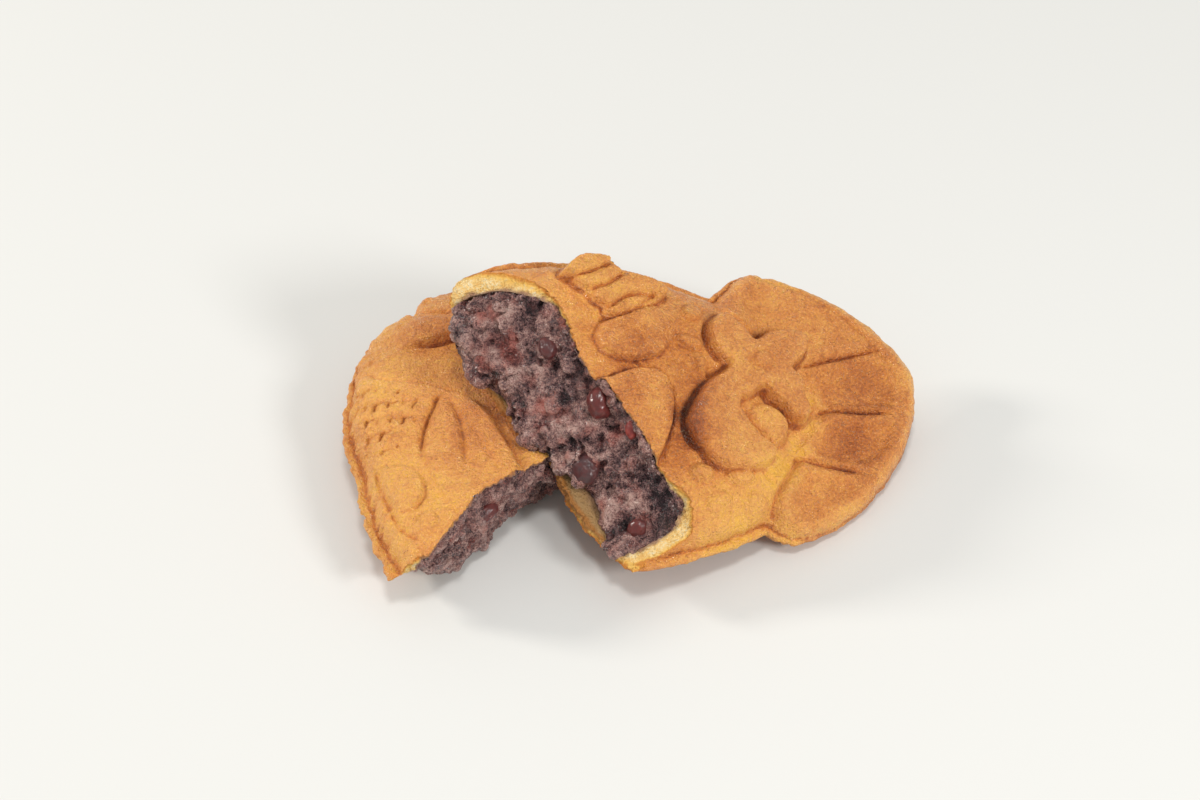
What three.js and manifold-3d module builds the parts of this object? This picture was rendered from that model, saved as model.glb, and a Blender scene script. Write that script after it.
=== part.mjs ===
// Taiyaki: a fish-shaped griddle cake of thin browned batter round a core of sweet bean paste.
// It is broken in two across the body. The head half lies flat, and the tail half leans on the
// head half's torn edge with its tail fan on the table. Millimetres, +Z up. The origin is on the
// table, under the middle of the two halves' bounding box.
//
// Both halves are cut from one fish. In the fish's own frame +X points to the tail, +Y to the back
// and +Z up, the mould's seam lies in z = 0, and the break crosses the body near x = 0.

import * as THREE from "three";
import { mergeVertices } from "three/addons/utils/BufferGeometryUtils.js";
import Module from "manifold-3d";

const wasm = await Module();
wasm.setup();

// ---- Driving dimensions, in millimetres unless named otherwise ----

const SNOUT_X = -66; // the snout's tip, ahead of the break
const TAIL_X = 97; // the tail fan's end
const BACK_Y = 42; // the back, at its highest
const BELLY_Y = -36.5; // the belly, at its lowest
const NOTCH_X = 48.5; // where the tail fan joins the body
const NOTCH_HALF = 31; // half the width there
const FAN_HALF = 34.3; // half the width of the tail fan

const BODY_HALF = 10.3; // from the seam to the top of the body, and to its base
const FAN_THICK_HALF = 4.6; // the same on the tail fan
const FLASH_HALF = 1.1; // half the thickness of the seam's thin flash
const FLASH_WIDTH = 2.4; // how far the flash stands out
const BODY_ROUND = 17; // how far in from the flash the body's dome levels off
const FAN_ROUND = 5; // the same on the tail fan

const FILLING_CENTRE = [3, 3]; // middle of the bean paste core, seen from above
const FILLING_RADII = [50, 33]; // its half length and half width
const FILLING_HALF = 8.2; // half its thickness
const FILLING_RIM_HALF = 1.5; // half its thickness at its own rim
const FILLING_ROUND = 0.45; // the share of its radius over which it thins out
const FIT_GAP = 0.35; // clearance between pieces that touch

const BREAK_SLANT = THREE.MathUtils.degToRad(20); // the break's turn away from square across
const HEAD_BREAK = 3.5; // how far past the middle the head half reaches
const TAIL_SETBACK = 15.5; // how far the tail half's upper crust is torn back
const TAIL_LIP = -1; // where its lower crust ends
const TEAR_FOOT = -7; // the height where the slant of that torn face starts
const TEAR_HEAD_BELLY = 4; // the height where it ends, at the belly and at the back
const TEAR_HEAD_BACK = 9;
const TEAR_ROUGH = 0.7; // unevenness of the torn crust
const PASTE_ROUGH = 1.3; // unevenness of the torn paste
const PASTE_PROUD = 1.4; // how far the paste stands out of the torn crust

const TOP_STEP = 3; // grid steps of the upper face, the base and the core
const BASE_STEP = 6;
const CORE_STEP = 5;
const TEAR_STEP = 3.2;

const HEAD_AT = [-28.2, -16.8, BODY_HALF]; // where each half's own origin stands
const HEAD_HEADING = -63; // degrees about +Z
const TAIL_AT = [-20.7, -15.6, 28.9];
const TAIL_TURNS = [23.6, 12.8, 19.6]; // roll, pitch and heading in degrees

const CRUST_COLOUR = 0xc98647;
const PASTE_COLOUR = 0x5a4148;

// ---- The fish's outline, seen from above ----

function fishShape() {
  const shape = new THREE.Shape();
  shape.moveTo(SNOUT_X, 6);
  shape.bezierCurveTo(SNOUT_X + 4, -8, -48, -23, -30, -28.5);
  shape.bezierCurveTo(-5, BELLY_Y + 2, 15, BELLY_Y - 3, NOTCH_X, -NOTCH_HALF);
  shape.quadraticCurveTo(NOTCH_X + 4, -FAN_HALF - 1, NOTCH_X + 10, -FAN_HALF + 0.4);
  shape.bezierCurveTo(76, -30, TAIL_X - 2, -12, TAIL_X, 4);
  shape.bezierCurveTo(TAIL_X + 0.5, 17, 80, FAN_HALF - 2.8, NOTCH_X + 12, FAN_HALF);
  shape.quadraticCurveTo(NOTCH_X + 7, FAN_HALF, NOTCH_X + 1.5, NOTCH_HALF - 0.5);
  shape.bezierCurveTo(42, NOTCH_HALF + 2, 30, BACK_Y + 0.5, 3, BACK_Y);
  shape.bezierCurveTo(-30, BACK_Y - 0.5, SNOUT_X - 2, 30, SNOUT_X, 6);
  return shape;
}

const OUTLINE_DIVISIONS = 9;
const fish = fishShape();
const rim = fish.getPoints(OUTLINE_DIVISIONS);

// How far a point lies inside the outline, or 0 outside it.
function insetOf(x, y) {
  let inside = false;
  let nearest = Infinity;
  for (let i = 0; i < rim.length; i++) {
    const a = rim[i];
    const b = rim[(i + 1) % rim.length];
    const length = Math.hypot(b.x - a.x, b.y - a.y);
    if (length < 1e-6) continue;
    const along = ((x - a.x) * (b.x - a.x) + (y - a.y) * (b.y - a.y)) / length ** 2;
    const t = THREE.MathUtils.clamp(along, 0, 1);
    const away = Math.hypot(x - a.x - t * (b.x - a.x), y - a.y - t * (b.y - a.y));
    nearest = Math.min(nearest, away);
    const crosses = a.y > y !== b.y > y;
    if (crosses && x < a.x + ((y - a.y) / (b.y - a.y)) * (b.x - a.x)) inside = !inside;
  }
  return inside ? nearest : 0;
}

// ---- Moulded relief on the upper face ----

// Raised pads: petals, leaf, fin lobes and scales' field, each a soft-edged oval.
const PAD_REACH = 1.25; // where a pad meets the dome, as a share of its radii
const PAD_EDGE = 0.5; // the share of its radii that its soft edge takes
const PADS = [
  { name: "back fin", at: [20, 31], radii: [9, 6], turn: -20, rise: 1.6 },
  { name: "fin lobe", at: [25, 19.5], radii: [11, 6.5], turn: 18, rise: 1.8 },
  { name: "leaf", at: [23, -1.5], radii: [11, 6.5], turn: -65, rise: 1.8 },
  { name: "front petal", at: [46.5, 16], radii: [8, 4.5], turn: -62, rise: 2 },
  { name: "back petal", at: [60, 11.5], radii: [8, 4.8], turn: 15, rise: 2 },
  { name: "side petal", at: [58, 0], radii: [7.5, 4.5], turn: -50, rise: 2 },
  { name: "large petal", at: [42, -7.5], radii: [13, 7.5], turn: -45, rise: 2 },
  { name: "brow", at: [-47, 2], radii: [14, 8], turn: 60, rise: 1.6 },
  { name: "side fin", at: [-12, -5], radii: [15, 9], turn: -25, rise: 1.2 },
  { name: "belly scroll", at: [-5, -25], radii: [8, 5], turn: 0, rise: 1.2 },
];

// Pressed grooves, each from one point to another.
const GROOVES = [
  { name: "upper fan crease", from: [66, 9], to: [88, 11], width: 2.4, depth: 1.2 },
  { name: "middle fan crease", from: [67, -4], to: [88, -5], width: 2.4, depth: 1.2 },
  { name: "lower fan crease", from: [58, -16], to: [73, -20], width: 2.4, depth: 1.2 },
  { name: "gill", from: [-41, -9], to: [-39, 6], width: 2.4, depth: 1.2 },
  { name: "fin root", from: [-25, -7], to: [-9, -18], width: 2.2, depth: 1 },
];

function reliefAt(x, y) {
  let height = 0;
  for (const { at, radii, turn, rise } of PADS) {
    const angle = THREE.MathUtils.degToRad(turn);
    const dx = x - at[0];
    const dy = y - at[1];
    const u = (dx * Math.cos(angle) + dy * Math.sin(angle)) / radii[0];
    const v = (dy * Math.cos(angle) - dx * Math.sin(angle)) / radii[1];
    const depth = PAD_REACH - Math.hypot(u, v);
    height = Math.max(height, rise * THREE.MathUtils.smoothstep(depth, 0, PAD_EDGE));
  }
  for (const { from, to, width, depth } of GROOVES) {
    const run = [to[0] - from[0], to[1] - from[1]];
    const along = ((x - from[0]) * run[0] + (y - from[1]) * run[1]) / (run[0] ** 2 + run[1] ** 2);
    const t = THREE.MathUtils.clamp(along, 0, 1);
    const away = Math.hypot(x - from[0] - t * run[0], y - from[1] - t * run[1]);
    height -= depth * Math.exp(-((away / width) ** 2));
  }
  return height;
}

// ---- Heights above and below the seam ----

// A quarter-round rise from 0 at the rim to 1 once t reaches 1.
function quarterRound(t) {
  const short = 1 - THREE.MathUtils.clamp(t, 0, 1);
  return Math.sqrt(1 - short * short);
}

const FAN_START = NOTCH_X - 4;
const FAN_FULL = NOTCH_X + 12;

// The plain pillow over and under the seam, thick in the body and thin in the tail fan.
function domeAt(x, y) {
  const fan = THREE.MathUtils.smoothstep(x, FAN_START, FAN_FULL);
  const full = THREE.MathUtils.lerp(BODY_HALF, FAN_THICK_HALF, fan);
  const round = THREE.MathUtils.lerp(BODY_ROUND, FAN_ROUND, fan);
  const inset = insetOf(x, y);
  return FLASH_HALF + (full - FLASH_HALF) * quarterRound((inset - FLASH_WIDTH) / round);
}

const RELIEF_FADE = 5;

// The upper face: the pillow with its relief, which fades out towards the flash.
function upperAt(x, y) {
  const inset = insetOf(x, y);
  const free = THREE.MathUtils.smoothstep(inset, FLASH_WIDTH, FLASH_WIDTH + RELIEF_FADE);
  return domeAt(x, y) + free * reliefAt(x, y);
}

// The paste core's half thickness, grown by a clearance.
function coreAt(clearance) {
  return (x, y) => {
    const u = (x - FILLING_CENTRE[0]) / FILLING_RADII[0];
    const v = (y - FILLING_CENTRE[1]) / FILLING_RADII[1];
    const rise = quarterRound((1 - Math.hypot(u, v)) / FILLING_ROUND);
    return FILLING_RIM_HALF + (FILLING_HALF - FILLING_RIM_HALF) * rise + clearance;
  };
}

// ---- Solids ----

// A closed geometry as a solid, once its doubled vertices are merged.
function solidFrom(geometry) {
  const bare = new THREE.BufferGeometry();
  bare.setAttribute("position", geometry.getAttribute("position"));
  bare.setIndex(geometry.index);
  const merged = mergeVertices(bare, 1e-4);
  return new wasm.Manifold(
    new wasm.Mesh({
      numProp: 3,
      vertProperties: new Float32Array(merged.attributes.position.array),
      triVerts: new Uint32Array(merged.index.array),
    }),
  );
}

// A solid as a geometry for a mesh.
function geometryFrom(solid) {
  const { vertProperties, triVerts } = solid.getMesh();
  const geometry = new THREE.BufferGeometry();
  geometry.setAttribute("position", new THREE.BufferAttribute(new Float32Array(vertProperties), 3));
  geometry.setIndex(new THREE.BufferAttribute(new Uint32Array(triVerts), 1));
  geometry.computeVertexNormals();
  return geometry;
}

const GRID_MARGIN = 4;
const GRID_LENGTH = TAIL_X - SNOUT_X + 2 * GRID_MARGIN;
const GRID_WIDTH = BACK_Y - BELLY_Y + 2 * GRID_MARGIN;

// A slab over the whole fish from z = 0 up to heightAt, or down to it when side is -1.
function slab(heightAt, step, side) {
  const columns = Math.round(GRID_LENGTH / step);
  const rows = Math.round(GRID_WIDTH / step);
  const geometry = new THREE.BoxGeometry(GRID_LENGTH, GRID_WIDTH, 1, columns, rows, 1);
  geometry.translate((SNOUT_X + TAIL_X) / 2, (BACK_Y + BELLY_Y) / 2, side / 2);
  const position = geometry.getAttribute("position");
  for (let i = 0; i < position.count; i++) {
    const moved = Math.abs(position.getZ(i)) > 0.5;
    const height = moved ? heightAt(position.getX(i), position.getY(i)) : 0;
    position.setZ(i, side * height);
  }
  return solidFrom(geometry);
}

const PRISM_HALF = 20;
const OVAL_DIVISIONS = 24;

// An upright prism over an outline, tall enough to pass both faces.
function prism(shape, divisions) {
  const settings = { depth: 2 * PRISM_HALF, bevelEnabled: false, curveSegments: divisions };
  const geometry = new THREE.ExtrudeGeometry(shape, settings);
  geometry.translate(0, 0, -PRISM_HALF);
  return solidFrom(geometry);
}

// The unbroken fish.
function wholeFish() {
  const body = slab(upperAt, TOP_STEP, 1).add(slab(domeAt, BASE_STEP, -1));
  return body.intersect(prism(fish, OUTLINE_DIVISIONS));
}

// The paste core, or the hollow that it sits in when it is grown by the fit gap.
function core(clearance) {
  const heightAt = coreAt(clearance);
  const body = slab(heightAt, CORE_STEP, 1).add(slab(heightAt, CORE_STEP, -1));
  const radii = FILLING_RADII.map((radius) => radius + clearance);
  const oval = new THREE.Shape().absellipse(...FILLING_CENTRE, ...radii, 0, 2 * Math.PI);
  return body.intersect(prism(oval, OVAL_DIVISIONS));
}

// ---- The break ----

// A repeatable unevenness between about -1 and 1.
function unevenAt(y, z) {
  return 0.6 * Math.sin(0.9 * y + 1.3 * z) + 0.4 * Math.sin(0.37 * y - 0.8 * z + 2);
}

// Where the head half's torn face lies: straight up and down.
function headBreakAt(y) {
  return HEAD_BREAK - Math.tan(BREAK_SLANT) * y;
}

// The tail half's upper crust is torn further back than its lower one.
function tailBreakAt(y, z) {
  const across = (y - BELLY_Y) / (BACK_Y - BELLY_Y);
  const highest = THREE.MathUtils.lerp(TEAR_HEAD_BELLY, TEAR_HEAD_BACK, across);
  const setback = THREE.MathUtils.smoothstep(z, TEAR_FOOT, highest) * (TAIL_SETBACK - TAIL_LIP);
  return TAIL_LIP + setback - Math.tan(BREAK_SLANT) * y;
}

const REACH = 130;
const TEAR_HALF = 14;
const TEAR_WIDTH = GRID_WIDTH + 6;

// Everything on one side of a torn face: side -1 keeps the head's side and 1 the tail's.
function tornSide(breakAt, side, roughness, proud) {
  const rows = Math.round(TEAR_WIDTH / TEAR_STEP);
  const levels = Math.round((2 * TEAR_HALF) / TEAR_STEP);
  const geometry = new THREE.BoxGeometry(1, TEAR_WIDTH, 2 * TEAR_HALF, 1, rows, levels);
  geometry.translate(0, (BACK_Y + BELLY_Y) / 2, 0);
  const position = geometry.getAttribute("position");
  for (let i = 0; i < position.count; i++) {
    const torn = side * position.getX(i) < 0;
    const y = position.getY(i);
    const z = position.getZ(i);
    const face = breakAt(y, z) + roughness * unevenAt(y, z) - side * proud;
    position.setX(i, torn ? face : side * REACH);
  }
  return solidFrom(geometry);
}

// ---- Pieces ----

const { degToRad } = THREE.MathUtils;

const headFrame = new THREE.Group();
headFrame.position.set(...HEAD_AT);
headFrame.rotation.set(0, 0, degToRad(HEAD_HEADING));

const tailFrame = new THREE.Group();
tailFrame.position.set(...TAIL_AT);
tailFrame.rotation.set(...TAIL_TURNS.map(degToRad), "ZYX");

// One half's crust and the paste in it, in the fish's frame.
function half(breakAt, side) {
  const crust = wholeFish()
    .intersect(tornSide(breakAt, side, TEAR_ROUGH, 0))
    .subtract(core(FIT_GAP));
  const paste = core(0).intersect(tornSide(breakAt, side, PASTE_ROUGH, PASTE_PROUD));
  return { crust, paste };
}

// How much larger than the head half its dent is, which clears it by about the fit gap.
const DENT_GROWTH = [1.01, 1.012, 1.02];

// The head half, grown from its snout's base, in the tail half's frame. It dents the tail half.
function headDent() {
  headFrame.updateMatrix();
  tailFrame.updateMatrix();
  const grown = wholeFish()
    .intersect(tornSide(headBreakAt, -1, TEAR_ROUGH, 0))
    .add(core(0).intersect(tornSide(headBreakAt, -1, PASTE_ROUGH, PASTE_PROUD)))
    .translate([-SNOUT_X, 0, BODY_HALF])
    .scale(DENT_GROWTH)
    .translate([SNOUT_X, 0, -BODY_HALF]);
  const across = tailFrame.matrix.clone().invert().multiply(headFrame.matrix);
  return grown.transform(across.elements);
}

const crustMaterial = new THREE.MeshStandardMaterial({ color: CRUST_COLOUR, roughness: 0.6 });
const pasteMaterial = new THREE.MeshStandardMaterial({ color: PASTE_COLOUR, roughness: 0.4 });

// Adds a named piece to a half's frame.
function addPiece(frame, name, solid, material) {
  const mesh = new THREE.Mesh(geometryFrom(solid), material);
  mesh.name = name;
  frame.add(mesh);
}

const head = half(headBreakAt, -1);
addPiece(headFrame, "head_half_crust", head.crust, crustMaterial);
addPiece(headFrame, "head_half_bean_paste", head.paste, pasteMaterial);

const dent = headDent();
const tail = half(tailBreakAt, 1);
addPiece(tailFrame, "tail_half_crust", tail.crust.subtract(dent), crustMaterial);
addPiece(tailFrame, "tail_half_bean_paste", tail.paste.subtract(dent), pasteMaterial);

const taiyaki = new THREE.Group();
taiyaki.add(headFrame, tailFrame);

export default taiyaki;
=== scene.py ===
"""A taiyaki broken in two: browned crust, coarse bean paste and whole beans.

Both halves are shaped in the fish's own frame, in millimetres, where +X points to the tail, +Y to
the back and the mould's seam lies in z = 0. Each finished piece is then set where its half lies and
brought to metres.
"""

import sys

import logging
import math
import random
from collections.abc import Callable
from dataclasses import dataclass, field
from enum import Enum

import bpy
import numpy as np
from mathutils import Euler, Matrix, Vector


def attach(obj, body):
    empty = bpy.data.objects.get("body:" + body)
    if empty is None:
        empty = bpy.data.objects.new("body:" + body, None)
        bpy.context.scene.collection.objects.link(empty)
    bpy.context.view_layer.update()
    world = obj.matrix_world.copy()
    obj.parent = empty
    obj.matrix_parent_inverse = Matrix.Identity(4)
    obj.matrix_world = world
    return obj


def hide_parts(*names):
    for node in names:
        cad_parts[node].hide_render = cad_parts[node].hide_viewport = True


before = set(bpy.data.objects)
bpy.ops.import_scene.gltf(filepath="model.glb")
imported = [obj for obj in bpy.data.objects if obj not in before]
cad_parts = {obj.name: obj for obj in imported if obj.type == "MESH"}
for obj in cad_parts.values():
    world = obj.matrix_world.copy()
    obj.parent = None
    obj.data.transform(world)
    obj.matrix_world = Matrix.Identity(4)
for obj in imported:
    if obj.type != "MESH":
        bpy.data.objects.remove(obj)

log = logging.getLogger("taiyaki")

MM = 0.001
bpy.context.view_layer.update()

Spot = tuple[float, float]
Ring = tuple[Spot, ...]
Heights = Callable[[np.ndarray], np.ndarray]
Piece = bpy.types.Object
Socket = bpy.types.NodeSocket


# ---- Small sums ----

CURVE_STEPS = 4
OVAL_POINTS = 10
TINY = 1e-12
NO_LIMIT = 1e9

CORNER_FACTORS = (73856093, 19349663, 83492791)
SEED_FACTOR = 6542989
STIRS = ((13, 1274126177), (16, 668265263))
WORD = 0xFFFFFFFF
TEN_BITS = 0x3FF

CLOUD_SEED_STEP = 0.37
CLOUD_GAIN = 1.7
OCTAVE_SEED_STEP = 101
OCTAVE_SHRINK = 2.03
OCTAVE_SHIFT = 5.1
PEBBLE_SEED_STEP = 0.61
PEBBLE_WANDER = 0.42
PEBBLE_GAP = 0.75


def smoothstep(value: np.ndarray, low: float | np.ndarray, high: float | np.ndarray) -> np.ndarray:
    """Rise smoothly from 0 at low to 1 at high."""
    share = np.clip((value - low) / (high - low), 0, 1)
    return share * share * (3 - 2 * share)


def quarter_round(share: np.ndarray) -> np.ndarray:
    """Rise as a quarter circle from 0 to 1 as share goes from 0 to 1."""
    short = 1 - np.clip(share, 0, 1)
    return np.sqrt(1 - short * short)


def hump(value: np.ndarray, centre: float | np.ndarray, width: float) -> np.ndarray:
    """Give 1 at the centre, falling to nothing about two widths away on each side."""
    return np.exp(-(((value - centre) / width) ** 2))


def round_share(points: np.ndarray, at: tuple[float, ...], radius: float) -> np.ndarray:
    """Give 1 at a place, falling to nothing about two radii away all round."""
    away = points - np.array(at)
    return np.exp(-np.einsum("ij,ij->i", away, away) / radius**2)


def turned(spots: np.ndarray, at: Spot, degrees: float) -> tuple[np.ndarray, np.ndarray]:
    """Give how far points lie from a place along and across a direction turned from +X."""
    angle = math.radians(degrees)
    x, y = (spots - np.array(at)).T
    return x * math.cos(angle) + y * math.sin(angle), y * math.cos(angle) - x * math.sin(angle)


def at_rows(y: np.ndarray, rows: Ring) -> np.ndarray:
    """Read rows of (y, value) at each y, along straight lines between them."""
    return np.interp(y, *np.array(rows).T)


def near_box(points: np.ndarray, line: np.ndarray, reach: float) -> np.ndarray:
    """Tell which points lie within reach of the box round a line."""
    return np.all((points > line.min(0) - reach) & (points < line.max(0) + reach), axis=1)


def along_curve(points: Ring, closed: bool) -> np.ndarray:
    """Draw a smooth line through a few points.

    Args:
        points: The points it passes, each (x, y).
        closed: Whether it comes back to its first point.

    Returns:
        The drawn points, one row each.
    """
    knots = np.array(points, float)
    if closed:
        knots = np.vstack([knots[-1], knots, knots[:2]])
    else:
        knots = np.vstack([2 * knots[0] - knots[1], knots, 2 * knots[-1] - knots[-2]])
    drawn = []
    for before, start, end, after in zip(knots, knots[1:], knots[2:], knots[3:]):
        for step in range(CURVE_STEPS):
            t = step / CURVE_STEPS
            drawn.append(
                start
                + 0.5 * t * (end - before)
                + t * t * (before - 2.5 * start + 2 * end - 0.5 * after)
                + t * t * t * 0.5 * (3 * start - before - 3 * end + after)
            )
    if not closed:
        drawn.append(knots[-2])
    return np.array(drawn)


def oval_ring(at: Spot, radii: Spot, turn: float = 0.0) -> Ring:
    """Give points round an oval whose first radius lies turn degrees from +X."""
    lean = math.radians(turn)
    ring = []
    for step in range(OVAL_POINTS):
        angle = step * math.tau / OVAL_POINTS
        u, v = radii[0] * math.cos(angle), radii[1] * math.sin(angle)
        x = at[0] + u * math.cos(lean) - v * math.sin(lean)
        y = at[1] + u * math.sin(lean) + v * math.cos(lean)
        ring.append((x, y))
    return tuple(ring)


def distance_to_runs(points: np.ndarray, starts: np.ndarray, ends: np.ndarray) -> tuple:
    """Measure how far points lie from a chain of straight runs.

    Args:
        points: One (x, y) row each.
        starts: Where each run starts.
        ends: Where each run ends.

    Returns:
        The distances; the side that each point lies on, 1 on the left and -1 on the right; and how
        far along the chain its nearest spot is, from 0 to 1.
    """
    nearest = np.full(len(points), np.inf)
    side = np.ones(len(points))
    place = np.zeros(len(points))
    for index, (start, end) in enumerate(zip(starts, ends)):
        run = end - start
        length = run @ run
        if length < TINY:
            continue
        offset = points - start
        along = np.clip(offset @ run / length, 0, 1)
        away = offset - along[:, None] * run
        squared = np.einsum("ij,ij->i", away, away)
        closer = squared < nearest
        nearest[closer] = squared[closer]
        across = run[0] * offset[:, 1] - run[1] * offset[:, 0]
        side[closer] = np.where(across[closer] >= 0, 1, -1)
        place[closer] = (index + along[closer]) / len(starts)
    return np.sqrt(nearest), side, place


def depth_in_ring(points: np.ndarray, ring: np.ndarray, reach: float = NO_LIMIT) -> np.ndarray:
    """Measure how far points lie inside a closed ring, negative outside it.

    Args:
        points: One (x, y) row each.
        ring: The ring's points in order.
        reach: Points further than this outside the ring's box get minus this.

    Returns:
        The depths.
    """
    depth = np.full(len(points), -reach)
    near = near_box(points, ring, reach)
    if not near.any():
        return depth
    close = points[near]
    following = np.roll(ring, -1, axis=0)
    away = distance_to_runs(close, ring, following)[0]
    inside = np.zeros(len(close), bool)
    for start, end in zip(ring, following):
        rise = end[1] - start[1]
        if abs(rise) < TINY:
            continue
        crosses = (start[1] > close[:, 1]) != (end[1] > close[:, 1])
        crossing_x = start[0] + (close[:, 1] - start[1]) / rise * (end[0] - start[0])
        inside ^= crosses & (close[:, 0] < crossing_x)
    depth[near] = np.where(inside, away, -away)
    return depth


def lattice_lean(corner: np.ndarray, seed: int) -> np.ndarray:
    """Give each whole-numbered corner of space its own repeatable lean.

    Args:
        corner: One row of three whole numbers for each corner.
        seed: A number that picks another pattern.

    Returns:
        One row of three values between -1 and 1 for each corner.
    """
    mixed = np.full(len(corner), seed * SEED_FACTOR)
    for axis, factor in enumerate(CORNER_FACTORS):
        mixed = mixed ^ (corner[:, axis] * factor)
    mixed = mixed & WORD
    for shift, factor in STIRS:
        mixed = ((mixed ^ (mixed >> shift)) * factor) & WORD
    parts = [(mixed >> shift) & TEN_BITS for shift in (0, 10, 20)]
    return np.column_stack(parts) / (TEN_BITS / 2) - 1


def clouds(points: np.ndarray, size: float, octaves: int, seed: int) -> np.ndarray:
    """Give a repeatable unevenness in space.

    Args:
        points: One (x, y) or (x, y, z) row each, in millimetres.
        size: The size of the largest swells.
        octaves: How many ever finer layers it has.
        seed: A number that picks another pattern.

    Returns:
        Values between about -1 and 1.
    """
    spots = np.zeros((len(points), 3))
    spots[:, : points.shape[1]] = points
    spots = spots / size + seed * CLOUD_SEED_STEP
    total = np.zeros(len(points))
    weight = 1.0
    for octave in range(octaves):
        base = np.floor(spots).astype(np.int64)
        part = spots - base
        fade = part * part * part * (part * (part * 6 - 15) + 10)
        for corner in range(8):
            step = np.array([corner & 1, (corner >> 1) & 1, corner >> 2])
            lean = lattice_lean(base + step, seed + OCTAVE_SEED_STEP * octave)
            share = np.prod(np.where(step == 1, fade, 1 - fade), axis=1)
            total += weight * share * np.einsum("ij,ij->i", lean, part - step)
        spots = spots * OCTAVE_SHRINK + OCTAVE_SHIFT
        weight *= 0.5
    return CLOUD_GAIN * total


def pebbles(points: np.ndarray, size: float, seed: int) -> np.ndarray:
    """Give rounded grains packed in space: 1 at a grain's middle, 0 in the gaps between grains.

    Args:
        points: One (x, y, z) row each, in millimetres.
        size: How far apart the grains lie.
        seed: A number that picks another pattern.

    Returns:
        Values between 0 and 1.
    """
    spots = points / size + seed * PEBBLE_SEED_STEP
    base = np.floor(spots).astype(np.int64)
    nearest = np.full(len(points), 9.0)
    second = nearest.copy()
    for index in range(27):
        cell = base + np.array([index % 3 - 1, (index // 3) % 3 - 1, index // 9 - 1])
        away = cell + 0.5 + PEBBLE_WANDER * lattice_lean(cell, seed) - spots
        squared = np.einsum("ij,ij->i", away, away)
        second = np.minimum(second, np.maximum(squared, nearest))
        nearest = np.minimum(nearest, squared)
    return quarter_round((np.sqrt(second) - np.sqrt(nearest)) / PEBBLE_GAP)


@dataclass(frozen=True)
class Unevenness:
    """Repeatable swells: how high, how large, in how many layers and of which pattern."""

    height: float
    size: float
    octaves: int
    seed: int

    def at(self, points: np.ndarray, seed: int = 0) -> np.ndarray:
        """Give the swells' height at each place, of a further pattern if a seed is given."""
        return self.height * clouds(points, self.size, self.octaves, self.seed + seed)


# ---- Modelling steps ----


def deselect() -> None:
    """Leave nothing selected."""
    bpy.ops.object.select_all(action="DESELECT")


def pick(piece: Piece) -> None:
    """Make one piece the only selected and active one."""
    deselect()
    piece.select_set(True)
    bpy.context.view_layer.objects.active = piece


def edit_all(piece: Piece, operator: Callable, **settings: object) -> None:
    """Use one edit-mode operator on a whole mesh."""
    pick(piece)
    bpy.ops.object.mode_set(mode="EDIT")
    bpy.ops.mesh.select_all(action="SELECT")
    operator(**settings)
    bpy.ops.object.mode_set(mode="OBJECT")


def apply_place(piece: Piece) -> None:
    """Move a piece's place, turn and scale into its mesh."""
    pick(piece)
    bpy.ops.object.transform_apply(location=True, rotation=True, scale=True)


def apply_modifier(piece: Piece, kind: str, **settings: object) -> None:
    """Put a modifier on a piece and apply it."""
    pick(piece)
    modifier = piece.modifiers.new(kind.lower(), kind)
    for name, value in settings.items():
        setattr(modifier, name, value)
    bpy.ops.object.modifier_apply(modifier=modifier.name)


def read_rows(items: bpy.types.bpy_prop_collection, name: str) -> np.ndarray:
    """Give a vector of each of a mesh's items, one row each."""
    flat = np.empty(len(items) * 3, np.float32)
    items.foreach_get(name, flat)
    return flat.reshape(-1, 3).astype(float)


def points_of(piece: Piece) -> np.ndarray:
    """Give a mesh's vertices, one row each."""
    return read_rows(piece.data.vertices, "co")


def move_points(piece: Piece, points: np.ndarray) -> None:
    """Put a mesh's vertices at new places."""
    piece.data.vertices.foreach_set("co", points.astype(np.float32).ravel())
    piece.data.update()


def write_values(piece: Piece, name: str, values: np.ndarray) -> None:
    """Store one number for each vertex, which a material can read by its name."""
    layer = piece.data.attributes.new(name, "FLOAT", "POINT")
    layer.data.foreach_set("value", values.astype(np.float32))


def face_block(name: str, step: float, size: Spot, depth: float) -> Piece:
    """Model a block whose front is a fine grid in z = 0 and whose back lies at -depth.

    Args:
        name: The block's name.
        step: About how large the grid's cells are.
        size: Its width and height.
        depth: Its thickness.

    Returns:
        The block.
    """
    deselect()
    bpy.ops.mesh.primitive_grid_add(
        x_subdivisions=round(size[0] / step), y_subdivisions=round(size[1] / step), size=1
    )
    block = bpy.context.object
    block.name = name
    block.scale = (size[0], size[1], 1)
    apply_place(block)
    edit_all(block, bpy.ops.mesh.extrude_region_move, TRANSFORM_OT_translate={"value": (0, 0, -depth)})
    edit_all(block, bpy.ops.mesh.normals_make_consistent, inside=False)
    return block


def add_ball(subdivisions: int, radius: float = 1.0) -> Piece:
    """Add a ball of even faces, to be shaped further."""
    deselect()
    bpy.ops.mesh.primitive_ico_sphere_add(subdivisions=subdivisions, radius=radius)
    return bpy.context.object


def combine(piece: Piece, tool: Piece, operation: str, keep_tool: bool = False) -> None:
    """Cut or trim a piece with a tool body.

    Args:
        piece: What changes.
        tool: The other body.
        operation: DIFFERENCE to cut the tool body away, or INTERSECT to keep what lies in it.
        keep_tool: Whether the tool body stays.
    """
    apply_modifier(piece, "BOOLEAN", operation=operation, solver="MANIFOLD", object=tool)
    if not keep_tool:
        bpy.data.objects.remove(tool)


def copy_of(piece: Piece, name: str) -> Piece:
    """Copy a piece together with its mesh."""
    pick(piece)
    bpy.ops.object.duplicate()
    twin = bpy.context.object
    twin.name = name
    return twin


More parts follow.
